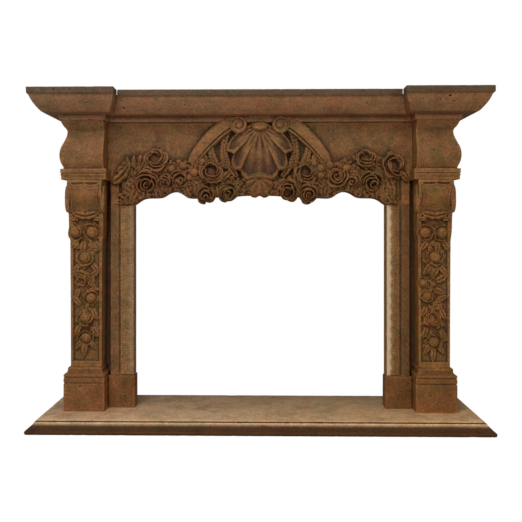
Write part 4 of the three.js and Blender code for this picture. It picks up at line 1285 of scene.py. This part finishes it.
def carved_brown():
    return stone("carved_brown_travertine", ground=linear(142, 100, 60), warm=linear(154, 98, 62),
                 olive=linear(126, 98, 54), dark=linear(96, 64, 38), light=linear(170, 124, 80),
                 tint=(0.5, 0.42, 0.38), pick=0.7, bands=0.2, pits=0.5)


def slip_brown():
    return stone("ribbed_brown_travertine", ground=linear(152, 116, 80), warm=linear(160, 112, 80),
                 olive=linear(138, 112, 74), dark=linear(108, 76, 50), light=linear(180, 138, 98),
                 tint=(0.5, 0.42, 0.38), pick=0.7, bands=0.25, pits=0.6)


def cornice_brown():
    return stone("moulded_brown_travertine", ground=linear(163, 118, 83), warm=linear(174, 113, 78),
                 olive=linear(146, 114, 76), dark=linear(112, 80, 58), light=linear(182, 136, 98),
                 tint=(0.39, 0.46, 0.56), pick=0.4, bands=0.35, pits=0.7, hollows=0.7, grit=0.6)


def hearth_pale():
    """Painted sheen: paler in front, darker towards the back."""
    # The tint here is the painted shade on the nose and in the crease
    material = stone("hearth_travertine", ground=linear(198, 166, 129), warm=linear(204, 160, 118),
                     olive=linear(186, 162, 122), dark=linear(142, 110, 78), light=linear(224, 198, 162),
                     tint=(0.125, 0.078, 0.036), pick=0.25, bands=0.6, pits=0.9, hollows=0.5, grit=0.5)
    tree = material.node_tree
    shader = next(node for node in tree.nodes if node.type == "BSDF_PRINCIPLED")
    plain = shader.inputs["Base Color"].links[0].from_socket
    place = add(tree, "ShaderNodeTexCoord").outputs["Object"]
    depth = share_along(tree, place, "Y", -0.2, BACK_Y * MM)
    # Painted sheen and reflection: the front of the top is lightened and made bluer, the back darkened
    painted_sheen = ramp(tree, depth, [(0.0, (1.6, 1.6, 1.95)), (0.12, (1.5, 1.5, 1.85)),
                              (0.4, (1.25, 1.25, 1.5)), (0.8, (0.9, 0.9, 1.1)), (1.0, (0.7, 0.72, 0.95))])
    tree.links.new(mix(tree, "MULTIPLY", 1.0, plain, painted_sheen), shader.inputs["Base Color"])
    return material


# Floor and light

def for_camera(tree, lit, seen, output):
    """Lights the scene with one shader and shows the camera another."""
    camera = add(tree, "ShaderNodeLightPath").outputs["Is Camera Ray"]
    both = add(tree, "ShaderNodeMixShader", {"Fac": camera})
    tree.links.new(lit.outputs[0], both.inputs[1])
    tree.links.new(seen.outputs[0], both.inputs[2])
    tree.links.new(both.outputs[0], add(tree, output).inputs["Surface"])


def set_stage():
    bpy.ops.object.select_all(action="DESELECT")
    bpy.ops.mesh.primitive_plane_add(size=30, location=(0, 0, -0.0004))
    floor = bpy.context.object
    floor.name = "floor"
    material = bpy.data.materials.new("pale_floor")
    tree = fresh_tree(material)
    paper = add(tree, "ShaderNodeEmission", {"Color": (1, 1, 1, 1), "Strength": 1.0})
    ground = add(tree, "ShaderNodeBsdfDiffuse", {"Color": (0.5, 0.48, 0.45, 1)})
    for_camera(tree, ground, paper, "ShaderNodeOutputMaterial")
    floor.data.materials.append(material)


def set_light():
    scene = bpy.context.scene
    scene.view_settings.view_transform = "Standard"
    world = bpy.data.worlds.new("studio")
    scene.world = world
    tree = fresh_tree(world)
    white = add(tree, "ShaderNodeBackground", {"Color": (1, 1, 1, 1), "Strength": 1.0})
    fill = add(tree, "ShaderNodeBackground", {"Color": (1, 0.985, 0.96, 1), "Strength": 0.2})
    for_camera(tree, fill, white, "ShaderNodeOutputWorld")
    lamp("soft_top", (-1.2, -3.4, 4.2), (0, 0, 0.6), 2.2, 80)
    lamp("soft_front", (-1.4, -4.6, 1.6), (0, 0, 0.7), 2.4, 23)
    lamp("soft_right", (2.6, -3.2, 1.2), (-0.3, 0, 0.7), 1.8, 18)


def lamp(name, place, target, size, power):
    data = bpy.data.lights.new(name, "AREA")
    data.size = size
    data.energy = power
    light = bpy.data.objects.new(name, data)
    light.location = place
    light.rotation_euler = (Vector(target) - Vector(place)).to_track_quat("-Z", "Y").to_euler()
    bpy.context.collection.objects.link(light)


def dress(piece, material):
    piece.data.materials.clear()
    piece.data.materials.append(material)


def main():
    set_camera()
    set_stage()
    set_light()
    carved, ribbed, moulded, pale = carved_brown(), slip_brown(), cornice_brown(), hearth_pale()
    dress(make_hearth(), pale)
    for side in (-1, 1):
        for make in (make_plinth, make_frieze_block, make_pilaster, make_slip_plinth):
            dress(make(side), carved)
        dress(make_slip(side), ribbed)
        dress(make_cornice_block(side), moulded)
    dress(make_centre_cornice(), moulded)
    dress(make_frieze_panel(), carved)


main()
